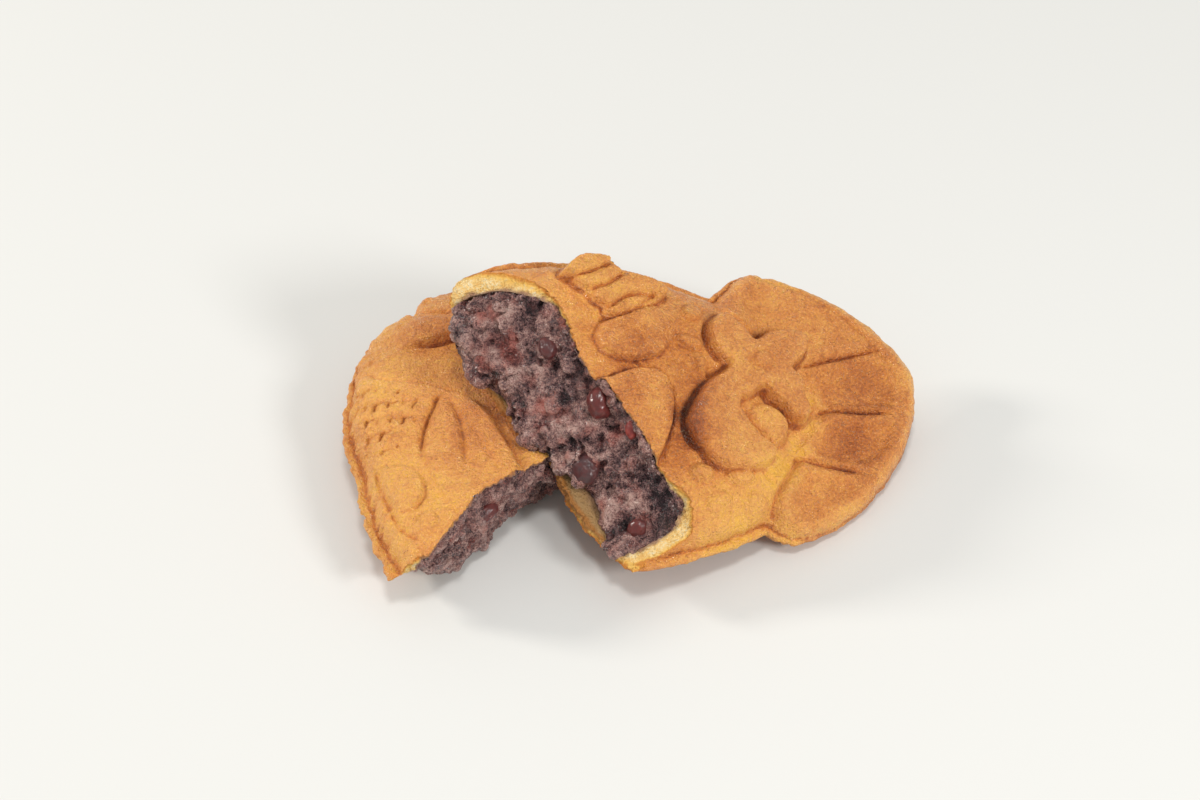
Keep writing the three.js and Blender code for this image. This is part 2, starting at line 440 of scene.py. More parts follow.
def join(pieces: list[Piece], name: str) -> Piece:
    """Make several meshes one object."""
    pick(pieces[0])
    for piece in pieces:
        piece.select_set(True)
    bpy.ops.object.join()
    joined = bpy.context.object
    joined.name = name
    joined.data.name = name
    return joined


def thin_out(piece: Piece, hidden: np.ndarray, ratio: float) -> None:
    """Leave fewer faces where a piece is hidden.

    Args:
        piece: What changes.
        hidden: For each vertex, whether it may lose faces.
        ratio: The share of faces left in all.
    """
    group = piece.vertex_groups.new(name="hidden")
    group.add(np.flatnonzero(hidden).tolist(), 1.0, "REPLACE")
    apply_modifier(piece, "DECIMATE", ratio=ratio, vertex_group=group.name, vertex_group_factor=5)
    piece.vertex_groups.clear()


def hollows_of(piece: Piece, heights: np.ndarray, rounds: int) -> np.ndarray:
    """Measure how much lower each vertex lies than the surface around it.

    Args:
        piece: Whose edges tell which vertices lie together.
        heights: Each vertex's height.
        rounds: How many times heights are evened out between neighbours; more look further round.

    Returns:
        The depths, negative on ridges.
    """
    ends = np.empty(len(piece.data.edges) * 2, np.int32)
    piece.data.edges.foreach_get("vertices", ends)
    first, second = ends.reshape(-1, 2).T
    count = len(heights)
    degree = np.maximum(np.bincount(first, minlength=count) + np.bincount(second, minlength=count), 1)
    even = heights.copy()
    for _ in range(rounds):
        around = np.bincount(first, even[second], count) + np.bincount(second, even[first], count)
        even = 0.5 * even + 0.5 * around / degree
    return even - heights


def laid(at: tuple[float, float, float], turn: tuple[float, float, float]) -> Matrix:
    """Say where a half lies, from its origin in millimetres and its turn in degrees."""
    return Matrix.Translation(at) @ Euler([math.radians(angle) for angle in turn]).to_matrix().to_4x4()


def place(piece: Piece, matrix: Matrix) -> None:
    """Set a piece shaped in the fish's frame where it lies, in metres, with its place in its mesh."""
    piece.matrix_world = Matrix.Scale(MM, 4) @ matrix @ piece.matrix_world
    apply_place(piece)


# ---- The mould ----

PAD_REACH = 4.0
EDGE_SPLIT = 0.35
MOAT_AT = -0.5
MOAT_WIDTH = 0.45
GROOVE_END = 0.12
OUTLINE_STEPS = 22


@dataclass(frozen=True)
class Level:
    """A flat height over the seam, which may lean along the fish, in millimetres."""

    height: float
    at_x: float = 0.0
    lean: float = 0.0

    def over(self, spots: np.ndarray) -> np.ndarray:
        """Give the height at each place."""
        return self.height + self.lean * (spots[:, 0] - self.at_x)


@dataclass(frozen=True)
class Pad:
    """A raised or sunken figure on the mould's upper face, in millimetres.

    With a level it reaches that height over the seam, and without one it rises by rise over
    whatever the pads before it have made.
    """

    name: str
    ring: Ring
    rise: float = 0.0
    edge: float = 0.8
    crown: float = 0.35
    crown_width: float = 3.0
    level: Level | None = None
    fade_from: Spot | None = None
    fade_to: Spot | None = None
    fade_share: float = 1.0
    moat: float = 0.12

    def press(self, spots: np.ndarray, dome: np.ndarray, wobble: np.ndarray, raised: np.ndarray) -> None:
        """Add the pad to the relief.

        Args:
            spots: One (x, y) row for each place.
            dome: The plain pillow's height there.
            wobble: How far the pad's edge wanders there.
            raised: The relief so far, which changes.
        """
        ring = along_curve(self.ring, True)
        near = near_box(spots, ring, PAD_REACH)
        if not near.any():
            return
        close, before = spots[near], raised[near]
        depth = depth_in_ring(close, ring, PAD_REACH) + wobble[near]
        share = np.ones(len(close))
        if self.fade_from and self.fade_to:
            start, end = np.array(self.fade_from), np.array(self.fade_to)
            along = (close - start) @ (end - start) / ((end - start) @ (end - start))
            share -= self.fade_share * smoothstep(along, 0, 1)
        if self.level is None:
            top = before + self.rise
        else:
            top = np.maximum(before, self.level.over(close) - dome[near])
        crown = self.crown * quarter_round(depth / self.crown_width)
        mask = smoothstep(depth, -EDGE_SPLIT * self.edge, (1 - EDGE_SPLIT) * self.edge) * share
        moat = self.moat * hump(depth, MOAT_AT, MOAT_WIDTH) * share
        raised[near] = before + mask * (top + crown - before) - moat


@dataclass(frozen=True)
class Groove:
    """A pressed line, with a lip on its left when lip is above 0, in millimetres."""

    name: str
    path: Ring
    width: float
    depth: float
    lip: float = 0.0
    lip_width: float = 1.4

    def press(self, spots: np.ndarray, raised: np.ndarray) -> None:
        """Add the groove and its lip to the relief, which changes."""
        line = along_curve(self.path, False)
        near = near_box(spots, line, 3 * (self.width + self.lip_width))
        if not near.any():
            return
        away, side, along = distance_to_runs(spots[near], line[:-1], line[1:])
        ends = smoothstep(along, 0, GROOVE_END) * (1 - smoothstep(along, 1 - GROOVE_END, 1))
        lip = hump(away, self.width + self.lip_width, self.lip_width) * (side > 0) * ends
        cut = hump(away, 0, self.width) * (0.35 + 0.65 * ends)
        raised[near] += self.lip * lip - self.depth * cut


@dataclass(frozen=True)
class Swell:
    """A soft mound or hollow, in millimetres."""

    at: Spot
    radii: Spot
    turn: float
    rise: float

    def height(self, spots: np.ndarray) -> np.ndarray:
        """Give its height at each place."""
        u, v = turned(spots, self.at, self.turn)
        return self.rise * np.exp(-((u / self.radii[0]) ** 2 + (v / self.radii[1]) ** 2))


@dataclass(frozen=True)
class RoughPatch:
    """A place where the skin is pitted, in millimetres."""

    at: Spot
    radius: float
    amount: float


@dataclass
class Mould:
    """The whole fish's form: its outline, its pillow and the relief on its upper face."""

    snout_x: float = -66.0
    tail_x: float = 97.0
    back_y: float = 42.0
    belly_y: float = -36.5
    notch_x: float = 48.5
    notch_half: float = 31.0
    fan_half: float = 34.3
    body_half: float = 10.3
    body_round: float = 17.0
    fan_thick_half: float = 4.6
    fan_round: float = 3.6
    flash_half: float = 1.1
    flash_round: float = 0.9
    flash_fall: float = 4.0
    flash_width: float = 2.4
    foot_depth: float = 0.12
    foot_width: float = 0.5
    slim_below: float = 0.0
    bowl_width: float = 22.0
    bowl_power: float = 1.7
    core_centre: Spot = (3.0, 3.0)
    core_radii: Spot = (50.0, 31.8)
    core_belly_radius: float = 35.2
    core_half: float = 8.2
    core_rim_half: float = 1.5
    core_round: Spot = (0.55, 0.9)
    flash_wander: Unevenness = Unevenness(0.35, 3.2, 3, 4)
    pad_wobble: Unevenness = Unevenness(0.16, 2.4, 2, 12)
    skin_swells: Unevenness = Unevenness(0.24, 8.0, 2, 1)
    skin_grain: Unevenness = Unevenness(0.09, 1.8, 3, 2)
    rim_grain: Unevenness = Unevenness(0.3, 1.9, 2, 3)
    pits: Unevenness = Unevenness(1.0, 1.5, 2, 14)
    base_swells: Unevenness = Unevenness(0.12, 7.0, 2, 6)
    pads: tuple[Pad, ...] = ()
    grooves: tuple[Groove, ...] = ()
    swells: tuple[Swell, ...] = ()
    rough_patches: tuple[RoughPatch, ...] = ()
    outline: np.ndarray = field(init=False)

    def __post_init__(self) -> None:
        """Draw the outline once."""
        self.outline = self.draw_outline()

    def draw_outline(self) -> np.ndarray:
        """Draw the fish seen from above, as runs of Bezier curves from the snout round the belly."""
        nose, tail, back = self.snout_x, self.tail_x, self.back_y
        notch, low, half = self.notch_x, self.notch_half, self.fan_half
        runs = (
            ((nose, 6), (nose + 4, -8), (-48, -23), (-30, -28.5)),
            ((-30, -28.5), (-5, self.belly_y + 1.2), (14, self.belly_y - 4.6), (notch, -low)),
            ((notch, -low), (notch + 4, -half - 1), (notch + 10, -half + 0.4)),
            ((notch + 10, -half + 0.4), (76, -30.6), (tail - 1.0, -12.8), (tail, 4)),
            ((tail, 4), (tail - 1.2, 14), (80, half - 3.1), (notch + 12, half + 0.4)),
            ((notch + 12, half + 0.4), (notch + 7.6, half + 0.3), (notch + 1, low - 1.4)),
            ((notch + 1, low - 1.4), (42, low + 1.6), (30, back + 0.5), (3, back)),
            ((3, back), (-30, back - 0.5), (nose - 2, 30), (nose, 6)),
        )
        drawn = []
        for run in runs:
            degree = len(run) - 1
            for t in np.linspace(0, 1, OUTLINE_STEPS, endpoint=False):
                weights = [math.comb(degree, i) * t**i * (1 - t) ** (degree - i) for i in range(degree + 1)]
                drawn.append(np.array(weights) @ np.array(run, float))
        return np.array(drawn)

    def inset(self, spots: np.ndarray) -> np.ndarray:
        """Measure how far points lie inside the outline, whose flash is a little ragged."""
        return depth_in_ring(spots, self.outline) + self.flash_wander.at(spots)

    def fan_share(self, spots: np.ndarray) -> np.ndarray:
        """Give 0 on the body and 1 on the tail fan."""
        return smoothstep(spots[:, 0], self.notch_x - 4, self.notch_x + 12)

    def flash_reach(self, spots: np.ndarray) -> np.ndarray:
        """Give the flash's width at each place, which is a quarter on the fan."""
        return self.flash_width * (1 - 0.75 * self.fan_share(spots))

    def flash(self, inset: np.ndarray) -> np.ndarray:
        """Give the thin flash's height over the seam, which falls away outside the outline."""
        edge = self.flash_half * quarter_round(inset / self.flash_round)
        return edge + self.flash_fall * np.minimum(inset, 0)

    def dome(self, spots: np.ndarray, inset: np.ndarray) -> np.ndarray:
        """Give the plain pillow's height over the seam, which ends in a thin round-edged flash."""
        fan = self.fan_share(spots)
        full = self.body_half + (self.fan_thick_half - self.body_half) * fan
        bend = self.body_round + (self.fan_round - self.body_round) * fan
        width = self.flash_reach(spots)
        foot = self.foot_depth * (1 - fan) * hump(inset, width - 0.1, self.foot_width)
        return self.flash(inset) + (full - self.flash_half) * quarter_round((inset - width) / bend) - foot

    def relief(self, spots: np.ndarray, dome: np.ndarray) -> np.ndarray:
        """Give the height of the pressed figures over the plain pillow."""
        raised = np.zeros(len(spots))
        wobble = self.pad_wobble.at(spots)
        for pad in self.pads:
            pad.press(spots, dome, wobble, raised)
        for groove in self.grooves:
            groove.press(spots, raised)
        for swell in self.swells:
            raised += swell.height(spots)
        return raised

    def upper(self, spots: np.ndarray) -> np.ndarray:
        """Give the upper face's height over the seam."""
        inset = self.inset(spots)
        dome = self.dome(spots, inset)
        width = self.flash_reach(spots)
        free = smoothstep(inset, width - 0.6, width + 1.6)
        uneven = self.skin_swells.at(spots) + self.skin_grain.at(spots)
        pits = self.pits.at(spots)
        for patch in self.rough_patches:
            uneven += patch.amount * round_share(spots, patch.at, patch.radius) * pits
        rim = self.rim_grain.at(spots) * smoothstep(inset, 0, 1) * (1 - free)
        return dome + free * (self.relief(spots, dome) + uneven) + rim

    def lower(self, spots: np.ndarray) -> np.ndarray:
        """Give the lower face's depth under the seam, slimmer towards the edge than the upper one."""
        inset = self.inset(spots)
        dome = self.dome(spots, inset)
        bowl = 1 - (1 - np.clip(inset / self.bowl_width, 0, 1)) ** self.bowl_power
        slim = self.flash(inset) + (self.body_half - self.flash_half) * bowl
        depth = dome + self.slim_below * (1 - self.fan_share(spots)) * (slim - dome)
        return depth + np.minimum(self.base_swells.at(spots), 0) * smoothstep(inset, 2, 4)

    def core_height(self, spots: np.ndarray) -> np.ndarray:
        """Give the filling's half thickness, and a negative measure outside it."""
        x, y = (spots - np.array(self.core_centre)).T
        to_belly = smoothstep(-y, -1, 1)
        radius = self.core_radii[1] + (self.core_belly_radius - self.core_radii[1]) * to_belly
        bend = self.core_round[0] + (self.core_round[1] - self.core_round[0]) * to_belly
        reach = 1 - np.hypot(x / self.core_radii[0], y / radius)
        inside = self.core_rim_half + (self.core_half - self.core_rim_half) * quarter_round(reach / bend)
        return np.where(reach > 0, inside, reach * min(self.core_radii))


# ---- The break ----


@dataclass(frozen=True)
class Tear:
    """One half's torn face: how far past square-across it lies, by height and by place across.

    The rows give (y, reach past the slanted break) at the upper and at the lower crust, for the
    crust itself and for the paste. The foot and top rows give (y, z), the heights between which
    the lower rows turn into the upper ones. The lip rows give (y, share) for how far the paste
    rises to just under the skin there. All rows run up in y.
    """

    side: int
    crust_upper: Ring
    crust_lower: Ring
    paste_upper: Ring
    paste_lower: Ring
    lip: Ring
    foot: Ring
    top: Ring
    slant: float = math.tan(math.radians(20))

    def reach(self, y: np.ndarray, z: np.ndarray, upper: Ring, lower: Ring) -> np.ndarray:
        """Blend the lower row into the upper one with height, and lean the whole with the break."""
        low = at_rows(y, lower)
        rise = smoothstep(z, at_rows(y, self.foot), at_rows(y, self.top))
        return low + (at_rows(y, upper) - low) * rise - self.slant * y

    def crust(self, y: np.ndarray, z: np.ndarray) -> np.ndarray:
        """Give x on the torn crust."""
        return self.reach(y, z, self.crust_upper, self.crust_lower)

    def paste(self, y: np.ndarray, z: np.ndarray) -> np.ndarray:
        """Give x on the torn paste."""
        return self.reach(y, z, self.paste_upper, self.paste_lower)

    def behind(self, points: np.ndarray, face: Callable) -> np.ndarray:
        """Give how far points lie behind one of the torn faces, negative in front of it."""
        return self.side * (points[:, 0] - face(points[:, 1], points[:, 2]))


HEAD_TEAR = Tear(
    side=-1,
    crust_upper=(
        (-36, 2.4), (-33.9, 2.8), (-30.3, 5.3), (-28.7, 7), (-23.4, 6.3), (-18, 5.2), (-14, 4.6),
        (-9.9, 4), (-5.9, 4.6), (-1.8, 5), (1.9, 5), (5.6, 6.2), (42, 4),
    ),
    crust_lower=((-36, -4), (-29, -6), (-20, -2), (-10, -2), (0, -3), (42, -3)),
    paste_upper=(
        (-36, 1), (-30, 4.2), (-28, 6), (-23, 5.6), (-18, 4.7), (-14, 4.1), (-9.9, 3.6), (-5.5, 4.1),
        (5.6, 5.4), (42, 4),
    ),
    paste_lower=(
        (-36, -5), (-29, -4.2), (-26.6, -0.6), (-24, 2.5), (-17.5, 3.6), (-6, 1.6), (2, 0.6), (12, 2.6),
        (42, 3),
    ),
    lip=((-36, 0), (-32, 0.6), (-28, 1), (42, 1)),
    foot=((-36, -8), (42, -8)),
    top=((-36, 6), (42, 6)),
)
TAIL_TEAR = Tear(
    side=1,
    crust_upper=(
        (-36, 12), (-32, 15), (-27.6, 18), (-23.4, 18.8), (-19.3, 16.7), (-15, 15.8), (-7.7, 15.7),
        (5, 14.8), (7.6, 14), (12.6, 13.5), (17.9, 15.3), (26.4, 17), (32, 15.6), (35.5, 14.5),
        (38.3, 13), (40, 14), (41.5, 18),
    ),
    crust_lower=(
        (-36, 0.3), (-34, 0.1), (-30, 0.3), (-28, 0.5), (-25, 0.5), (-22, 0.3), (-18, 0.3), (-14, 0.7),
        (-10, 1.4), (-6, 2.4), (-2, 2), (2, -1.2), (8, -1.3), (14, -1.8), (17, -1), (24, -0.4),
        (30, -0.6), (34, -0.4), (36, -0.2), (38, 1.4), (39, 4), (40, 8), (41, 12), (42, 17),
    ),
    paste_upper=(
        (-36, 12), (-30, 15.5), (-26.7, 17.6), (-23, 18.6), (-19, 17), (-16, 15.9), (-9.4, 15.6),
        (4.7, 14), (12.5, 13), (20.7, 15), (28.7, 16.3), (32.5, 15), (42, 14),
    ),
    paste_lower=(
        (-36, -1), (-27.7, -0.5), (-23, 2.2), (-16, 6), (-12, 6), (-9, 1.6), (-5, 1), (0, -0.7),
        (5, -1.2), (10, -0.7), (14, -0.6), (15.6, -4.2), (18, -5), (21, -4.6), (24, -5), (27, -4.3),
        (30, -3), (34, -1), (42, 3),
    ),
    lip=((-36, 0), (-26, 0), (-17, 0.5), (-12, 1), (13, 1), (18, 0.7), (22, 0.2), (26, 0)),
    foot=((-36, -1), (-31, -3), (-24, -7), (20, -6), (30, -3), (36, -1), (42, 0)),
    top=((-36, 4.6), (-31, 5.8), (-26, 6.5), (0, 7.5), (20, 8.4), (34, 8.8), (42, 9)),
)


class Half(Enum):
    """Which half of the broken fish."""

    HEAD = "head_half"
    TAIL = "tail_half"


HEAD_PLACE = laid((-28.2, -16.8, 10.3), (0, 0, -63))
TAIL_PLACE = laid((-20.7, -15.6, 28.9), (23.6, 12.8, 19.6))

FINS_AND_FLOWER = (
    Pad("bulge under the flower", (
        (48, -2.7), (51.6, -1.6), (55.3, -3.3), (57.4, -6.1), (57, -9.2), (55.2, -11.4), (51.8, -12.5),
        (49.1, -10.5), (47.1, -7.3), (45.9, -5),
    ), edge=2.2, crown=0.9, crown_width=4, level=Level(9.9, 48, -0.1), moat=0.06),
    Pad("leaf", (
        (10, 5.5), (14.7, 6.9), (16.7, 7.5), (19.6, 8.4), (22.7, 8.6), (26, 7.9), (27.9, 6.2),
        (28.8, 3.8), (29, 0.7), (28, -3), (26.2, -7), (23.9, -10.6), (21.7, -13.5), (20, -15.9),
        (14, -16), (8, -6),
    ), edge=0.8, crown=0.35, crown_width=4, level=Level(12.2), moat=0.2),
    Pad("fin lobe", (
        (13.6, 17.7), (14.7, 19.6), (16.5, 20.8), (20.6, 21.9), (23.4, 22.7), (27.2, 23.8), (30.8, 24.3),
        (34.2, 22.6), (34.8, 19.4), (33, 16.3), (30.6, 13.4), (27.5, 11.3), (23.9, 10.8), (20.9, 10.8),
        (16.9, 11.8), (14.3, 13.6), (13.5, 15.8),
    ), edge=0.9, crown=0.5, crown_width=4, level=Level(12.1), fade_from=(26, 17), fade_to=(35, 18),
        fade_share=0.9, moat=0.08),
    Pad("fin base", (
        (9.7, 34.3), (10.3, 35.3), (11.3, 36.2), (13.9, 37.6), (17.1, 38.2), (19.7, 37.7), (21.6, 36.7),
        (23, 35.5), (23.8, 33.6), (26, 32.8), (30.6, 30.8), (34.5, 27.8), (32.8, 25.9), (30, 24.5),
        (26, 23), (21.9, 22), (18.5, 21.5), (17, 22.8), (16.9, 24.4), (15.4, 26), (14.5, 27.7),
        (13.4, 29.3), (11.9, 31.2), (11.5, 32.4), (10.6, 33.2),
    ), edge=0.8, crown=0.1, level=Level(11.4), moat=0.2),
    Pad("first fin ray", (
        (9.7, 34.3), (10.3, 35.3), (11.3, 36.2), (13.9, 37.6), (17.1, 38.2), (19.7, 37.7), (21.6, 36.7),
        (21.1, 35.1), (19.7, 34.6), (15.9, 33.5), (11.9, 32.7), (10.6, 33.4),
    ), 1.0, 0.6, 0.6, 1.4, moat=0.2),
    Pad("second fin ray", (
        (11.6, 32.2), (11.9, 31.3), (13.5, 29.6), (16.8, 29.7), (19.6, 30.3), (23.2, 32.3), (23.6, 33.1),
        (22, 34.8), (21.1, 34.8), (19.6, 34.2), (15.8, 33),
    ), 0.6, 0.6, 0.5, 1.3, moat=0.2),
    Pad("third fin ray", (
        (14.6, 27.7), (15.5, 26.3), (17.1, 25.1), (18.5, 24.6), (22.5, 26.5), (25.7, 27.1), (29.5, 26.7),
        (32.8, 26.2), (34.3, 27.8), (30.6, 30.6), (26, 32.4), (23.5, 31.6), (19.5, 29.6), (16.7, 29),
    ), 0.5, 0.6, 0.5, 1.4, moat=0.2),
    Pad("fourth fin ray", (
        (17.1, 24.3), (17.3, 23), (18.6, 22), (21.9, 22.7), (25.7, 23.8), (27.5, 25), (29.4, 26.1),
        (25.7, 26.5), (22.6, 25.9), (18.6, 23.9),
    ), 0.5, 0.6, 0.45, 1.2, moat=0.16),
    Pad("flower", (
        (46.3, 21.2), (44.4, 20.4), (42.6, 18.9), (41.4, 16.3), (41.4, 13.5), (42.2, 11), (43.4, 8.9),
        (44.4, 7.6), (41.9, 5.7), (39, 4.4), (37.1, 3.2), (35.9, 2.2), (33.6, -0.4), (31.2, -3.4),
        (29.7, -6.6), (30.9, -10.3), (32.6, -12.6), (33.6, -15.3), (35.5, -16.9), (38, -18.1),
        (43.3, -18.4), (47.6, -17.9), (50.7, -15.7), (51.1, -13.4), (48.1, -10.2), (46.4, -7.5),
        (45.4, -5.2), (44.9, -2.9), (45.6, -1.2), (48.4, -0.4), (52.5, 1.5), (53.6, -0.3), (56.2, -2.8),
        (57.8, -5.2), (59.2, -6.4), (61.4, -6.8), (63.4, -5.5), (63.9, -3.1), (63.3, -0.8), (64, 1.6),
        (63.8, 4), (61.9, 6.3), (63.9, 7.9), (66.5, 10.1), (68.1, 12.3), (68.5, 14.3), (67.3, 15.9),
        (64.5, 16.7), (61.1, 16.8), (58, 16.3), (55.6, 15.3), (53.3, 14.2), (51.7, 16.6), (49.8, 18.7),
        (48, 20.6),
    ), edge=1.3, crown=0.8, crown_width=3.4, level=Level(12.5, 42, -0.15), moat=0.15),
    Pad("flower heart", (
        (51, 8.2), (52.6, 10), (54.6, 10.1), (55.6, 8.3), (54.3, 6.6), (52.2, 6.6),
    ), 0.4, 0.4, 0.1, moat=0.2),
    Pad("lump by the large petal", oval_ring((31.4, -18), (3.0, 2.1), -10), 1.2, 1.8, 0.6, 2.4, moat=0.15),
    Pad("lump under the large petal", oval_ring((41, -19.6), (3.4, 2.0), -8), 1.0, 1.8, 0.6, 2.2, moat=0.15),
    Pad("low lump", oval_ring((34.7, -25), (3.4, 2.3), 20), 0.6, 2.2, 0.5, 2.4, moat=0.05),
    Pad("low lump by the fan", oval_ring((44.2, -25.6), (3.2, 2.2), -10), 0.6, 2.2, 0.5, 2.4, moat=0.05),
    Pad("lump over the flower", oval_ring((39.9, 22.6), (2.6, 2.2), 20), 0.8, 1.0, 0.5, 2, moat=0.15),
    Pad("ridge before the flower", oval_ring((36.5, 14.4), (3.2, 1.7), -25), 0.8, 1.5, 0.5, 1.7, moat=0.15),
    Pad("ridge's lower end", oval_ring((38.0, 9.2), (1.4, 3), 10), 0.5, 1.3, 0.4, 1.4, moat=0.1),
    Pad("upper fan panel", (
        (70, 14), (76, 13.4), (85, 15), (84, 19), (77, 22.5), (70, 21), (68, 17),
    ), -0.35, 2.0, 0.0, moat=0),
    Pad("middle fan panel", (
        (69.5, 6.5), (74, 8), (86, 9.5), (89, 5), (88.5, 0), (86, -3.5), (74, -2.4), (69, -1.6),
    ), -0.7, 2.0, 0.0, moat=0),
    Pad("lower fan panel", (
        (66, -9.5), (70, -8.5), (80, -8), (86, -8.5), (83, -14), (76, -17.5), (68, -15.5), (64, -13.5),
    ), -0.65, 2.0, 0.0, moat=0),
    Pad("fan lobe panel", (
        (57, -20.5), (62, -19), (68, -21.5), (71, -23.5), (64, -27), (56, -29), (52.5, -26),
    ), -0.4, 2.0, 0.0, moat=0),
)
FIN_AND_FLOWER_GROOVES = (
    Groove("slit before the fourth ray", ((15.7, 21.3), (16.6, 21.8), (17.4, 22.3)), 0.4, 0.7),
    Groove("slit behind the fourth ray", ((28.1, 25.5), (29.2, 26), (30.6, 26.3)), 0.45, 1.0),
    Groove("crease of the leaf and lobe", ((21.5, 11.1), (22.4, 10.2), (23.4, 9.1)), 0.4, 0.6),
    Groove("dimple of the leaf", ((15, 7.4), (15.7, 7.9), (16.5, 8.3)), 0.35, 0.5),
    Groove("shadow beside the first petal", (
        (42.8, 19.6), (40.9, 16.5), (40.8, 13.4), (41.6, 10.8), (42.8, 8.8),
    ), 0.6, 1.0),
    Groove("pocket under the first petal", ((38.6, 5.4), (40.4, 6.3), (42.5, 7), (44.6, 8)), 0.8, 1.5),
    Groove("pocket between petals", ((53.4, 14.8), (56.6, 16.4), (60.4, 17.6)), 0.55, 1.0),
    Groove("slit beside the large petal", (
        (29.4, -6.4), (30.2, -10.4), (32, -13), (33, -15.6),
    ), 0.5, 0.7),
    Groove("gap over the large petal", ((35.2, 2.4), (32.8, -0.2), (30.4, -3.4)), 0.6, 0.7),
    Groove("crease between petals", (
        (51.6, 2.4), (54, -0.6), (56.4, -3.8), (57.6, -6.4), (58, -8.6),
    ), 0.7, 1.0),
    Groove("edge of the side petal", (
        (47.3, -1.6), (46, -3.4), (46.6, -6.2), (48.4, -9.2), (50.8, -12.6),
    ), 0.7, 0.3),
    Groove("double line by the fan", (
        (47.9, 23.6), (50.3, 21.8), (52.5, 19.6), (54.4, 17.9), (55.6, 16.8),
    ), 0.5, 0.5, 0.3, 0.7),
    Groove("leaf's far edge", (
        (24.4, 9.4), (27.7, 7.4), (29.1, 4.0), (29.0, -0.3), (27.5, -5.1), (24.9, -10.4), (21.6, -15.5),
    ), 0.6, 0.9),
    Groove("line inside the fan's rim", (
        (60, 32.6), (66.3, 30.3), (71.5, 27.8), (78.4, 22.8), (82.8, 18.3), (86.6, 12.7), (90, 5.7),
        (90.4, 0),
    ), 0.35, 0.4),
    Groove("upper fan crease", ((87.5, 11.2), (80, 10.2), (74, 9.5), (66, 8.4)), 0.55, 1.2, 0.6, 1.3),
    Groove("middle fan crease", (
        (85.8, -5), (79.4, -4.6), (73.7, -3.7), (70.1, -3.4), (67.2, -3.7),
    ), 0.55, 1.4, 0.8, 1.4),
    Groove("lower fan crease", (
        (74.2, -19.5), (69.4, -18.2), (65.1, -16.8), (60.9, -15.4), (58, -14.6),
    ), 0.55, 1.3, 0.8, 1.4),
    Groove("edge of the lower lobe", (
        (60, -13.8), (56.9, -17), (53, -20.9), (49.8, -24.3), (49.2, -28), (50.9, -31.4),
    ), 0.7, 1.2, 1.0, 1.5),
    Groove("fold at the lower notch", ((49, -27), (50.9, -30), (53.7, -32.2)), 0.8, 0.9),
    Groove("valley before the fan", (
        (46.5, -18.6), (50, -19.6), (54, -16.8), (58, -13.6), (61.5, -9.8), (64.3, -7), (66, -2),
        (67.2, 2.5), (66.9, 6),
    ), 1.2, 0.8),
    Groove("side valley", ((50.5, -21.5), (49.4, -20), (47, -18.4)), 0.9, 0.5),
    Groove("seam along the belly", ((22, -32.8), (30, -32.2), (38, -31.4), (46, -30.2)), 0.5, 0.5),
)
FIN_AND_FLOWER_SWELLS = (
    Swell((30, -13.4), (2, 1.6), 0, 0.4),
    Swell((28.4, -11), (3, 3), 0, -0.35),
    Swell((30.4, -2), (1.2, 3.4), -10, -0.5),
    Swell((34, 9), (3.4, 3), 0, -0.5),
    Swell((57, 25.5), (6, 3), -15, -0.4),
    Swell((64, -24), (6, 4), -20, 0.3),
    Swell((68, -6.6), (4, 1.6), -10, 0.5),
    Swell((62, -12.4), (3, 1.4), -45, 0.4),
)
FIN_AND_FLOWER_PATCHES = (
    RoughPatch((24, 17), 8, 0.26),
    RoughPatch((20, 26), 5, 0.2),
    RoughPatch((34, 12), 6, 0.16),
    RoughPatch((8, 27), 7, 0.14),
    RoughPatch((72, -6), 5, 0.22),
    RoughPatch((66, -17.5), 5, 0.22),
    RoughPatch((76, 9), 6, 0.12),
    RoughPatch((36, -31), 8, 0.16),
)
BODY_RIDGE = (
    (-43.9, -17.9), (-39.3, -16), (-36, -13.7), (-33.5, -11.1), (-31.3, -8.4), (-29.2, -6.2),
    (-26.8, -4.1), (-24, -1.8), (-20.7, 0.4), (-17, 1.8), (-13.1, 2), (-9.5, 1.9), (-4.5, 1.6),
    (0.5, 1.2), (6, 1), (20, 0), (28, -20), (24, -40), (-20, -40), (-42, -26),
)
HEAD_FIGURES = (
    Pad("snout lobe", (
        (-56, 3.5), (-53.3, 5), (-51, 7), (-49, 9.5), (-48, 14), (-52, 20), (-60, 22), (-66, 16),
        (-67, 8), (-63, 3),
    ), 0.6, 1.2, 0.6, 5, moat=0.2),
    Pad("brow mound", (
        (-42.2, 6), (-42.4, 0.6), (-43.6, -4), (-46, -9), (-50, -14), (-56, -13), (-63, -6), (-67, 1),
        (-64, 2.2), (-58, 3), (-53.3, 4), (-50, 7), (-47, 11), (-43, 11),
    ), 1.4, 1.3, 1.4, 7, fade_from=(-50, 0), fade_to=(-50, -9), moat=0.15),
    Pad("body behind the gill", BODY_RIDGE, 1.0, 1.7, 0.4, 5, moat=0.2),
    Pad("side fin", (
        (-24.6, -6.4), (-24.8, -3.8), (-22.6, -1.4), (-18, 0.6), (-10, 1), (4, 0.4), (8, -6), (9.5, -12),
        (12, -17), (4, -19), (-3, -18.5), (-9.2, -17.9), (-13.2, -15.9), (-18.5, -12.2), (-22, -9),
    ), 0.45, 1.0, 0.3, 4, moat=0.12),
    Pad("belly scroll", (
        (-11.6, -27.3), (-10.9, -25), (-8.3, -22.5), (-4.8, -21), (-1.1, -21.1), (1.7, -22.2),
        (3.6, -24.3), (4, -26.6), (1.9, -28.7), (-2.8, -29.2),
    ), 0.5, 1.4, 0.4, 4, moat=0.12),
    Pad("small scroll", (
        (7.7, -26.2), (6.6, -24.2), (8.5, -22.8), (10.7, -23), (12.2, -24.7), (11.6, -26.5), (9.4, -27),
    ), 0.4, 1.0, 0.3, 2, moat=0.06),
)
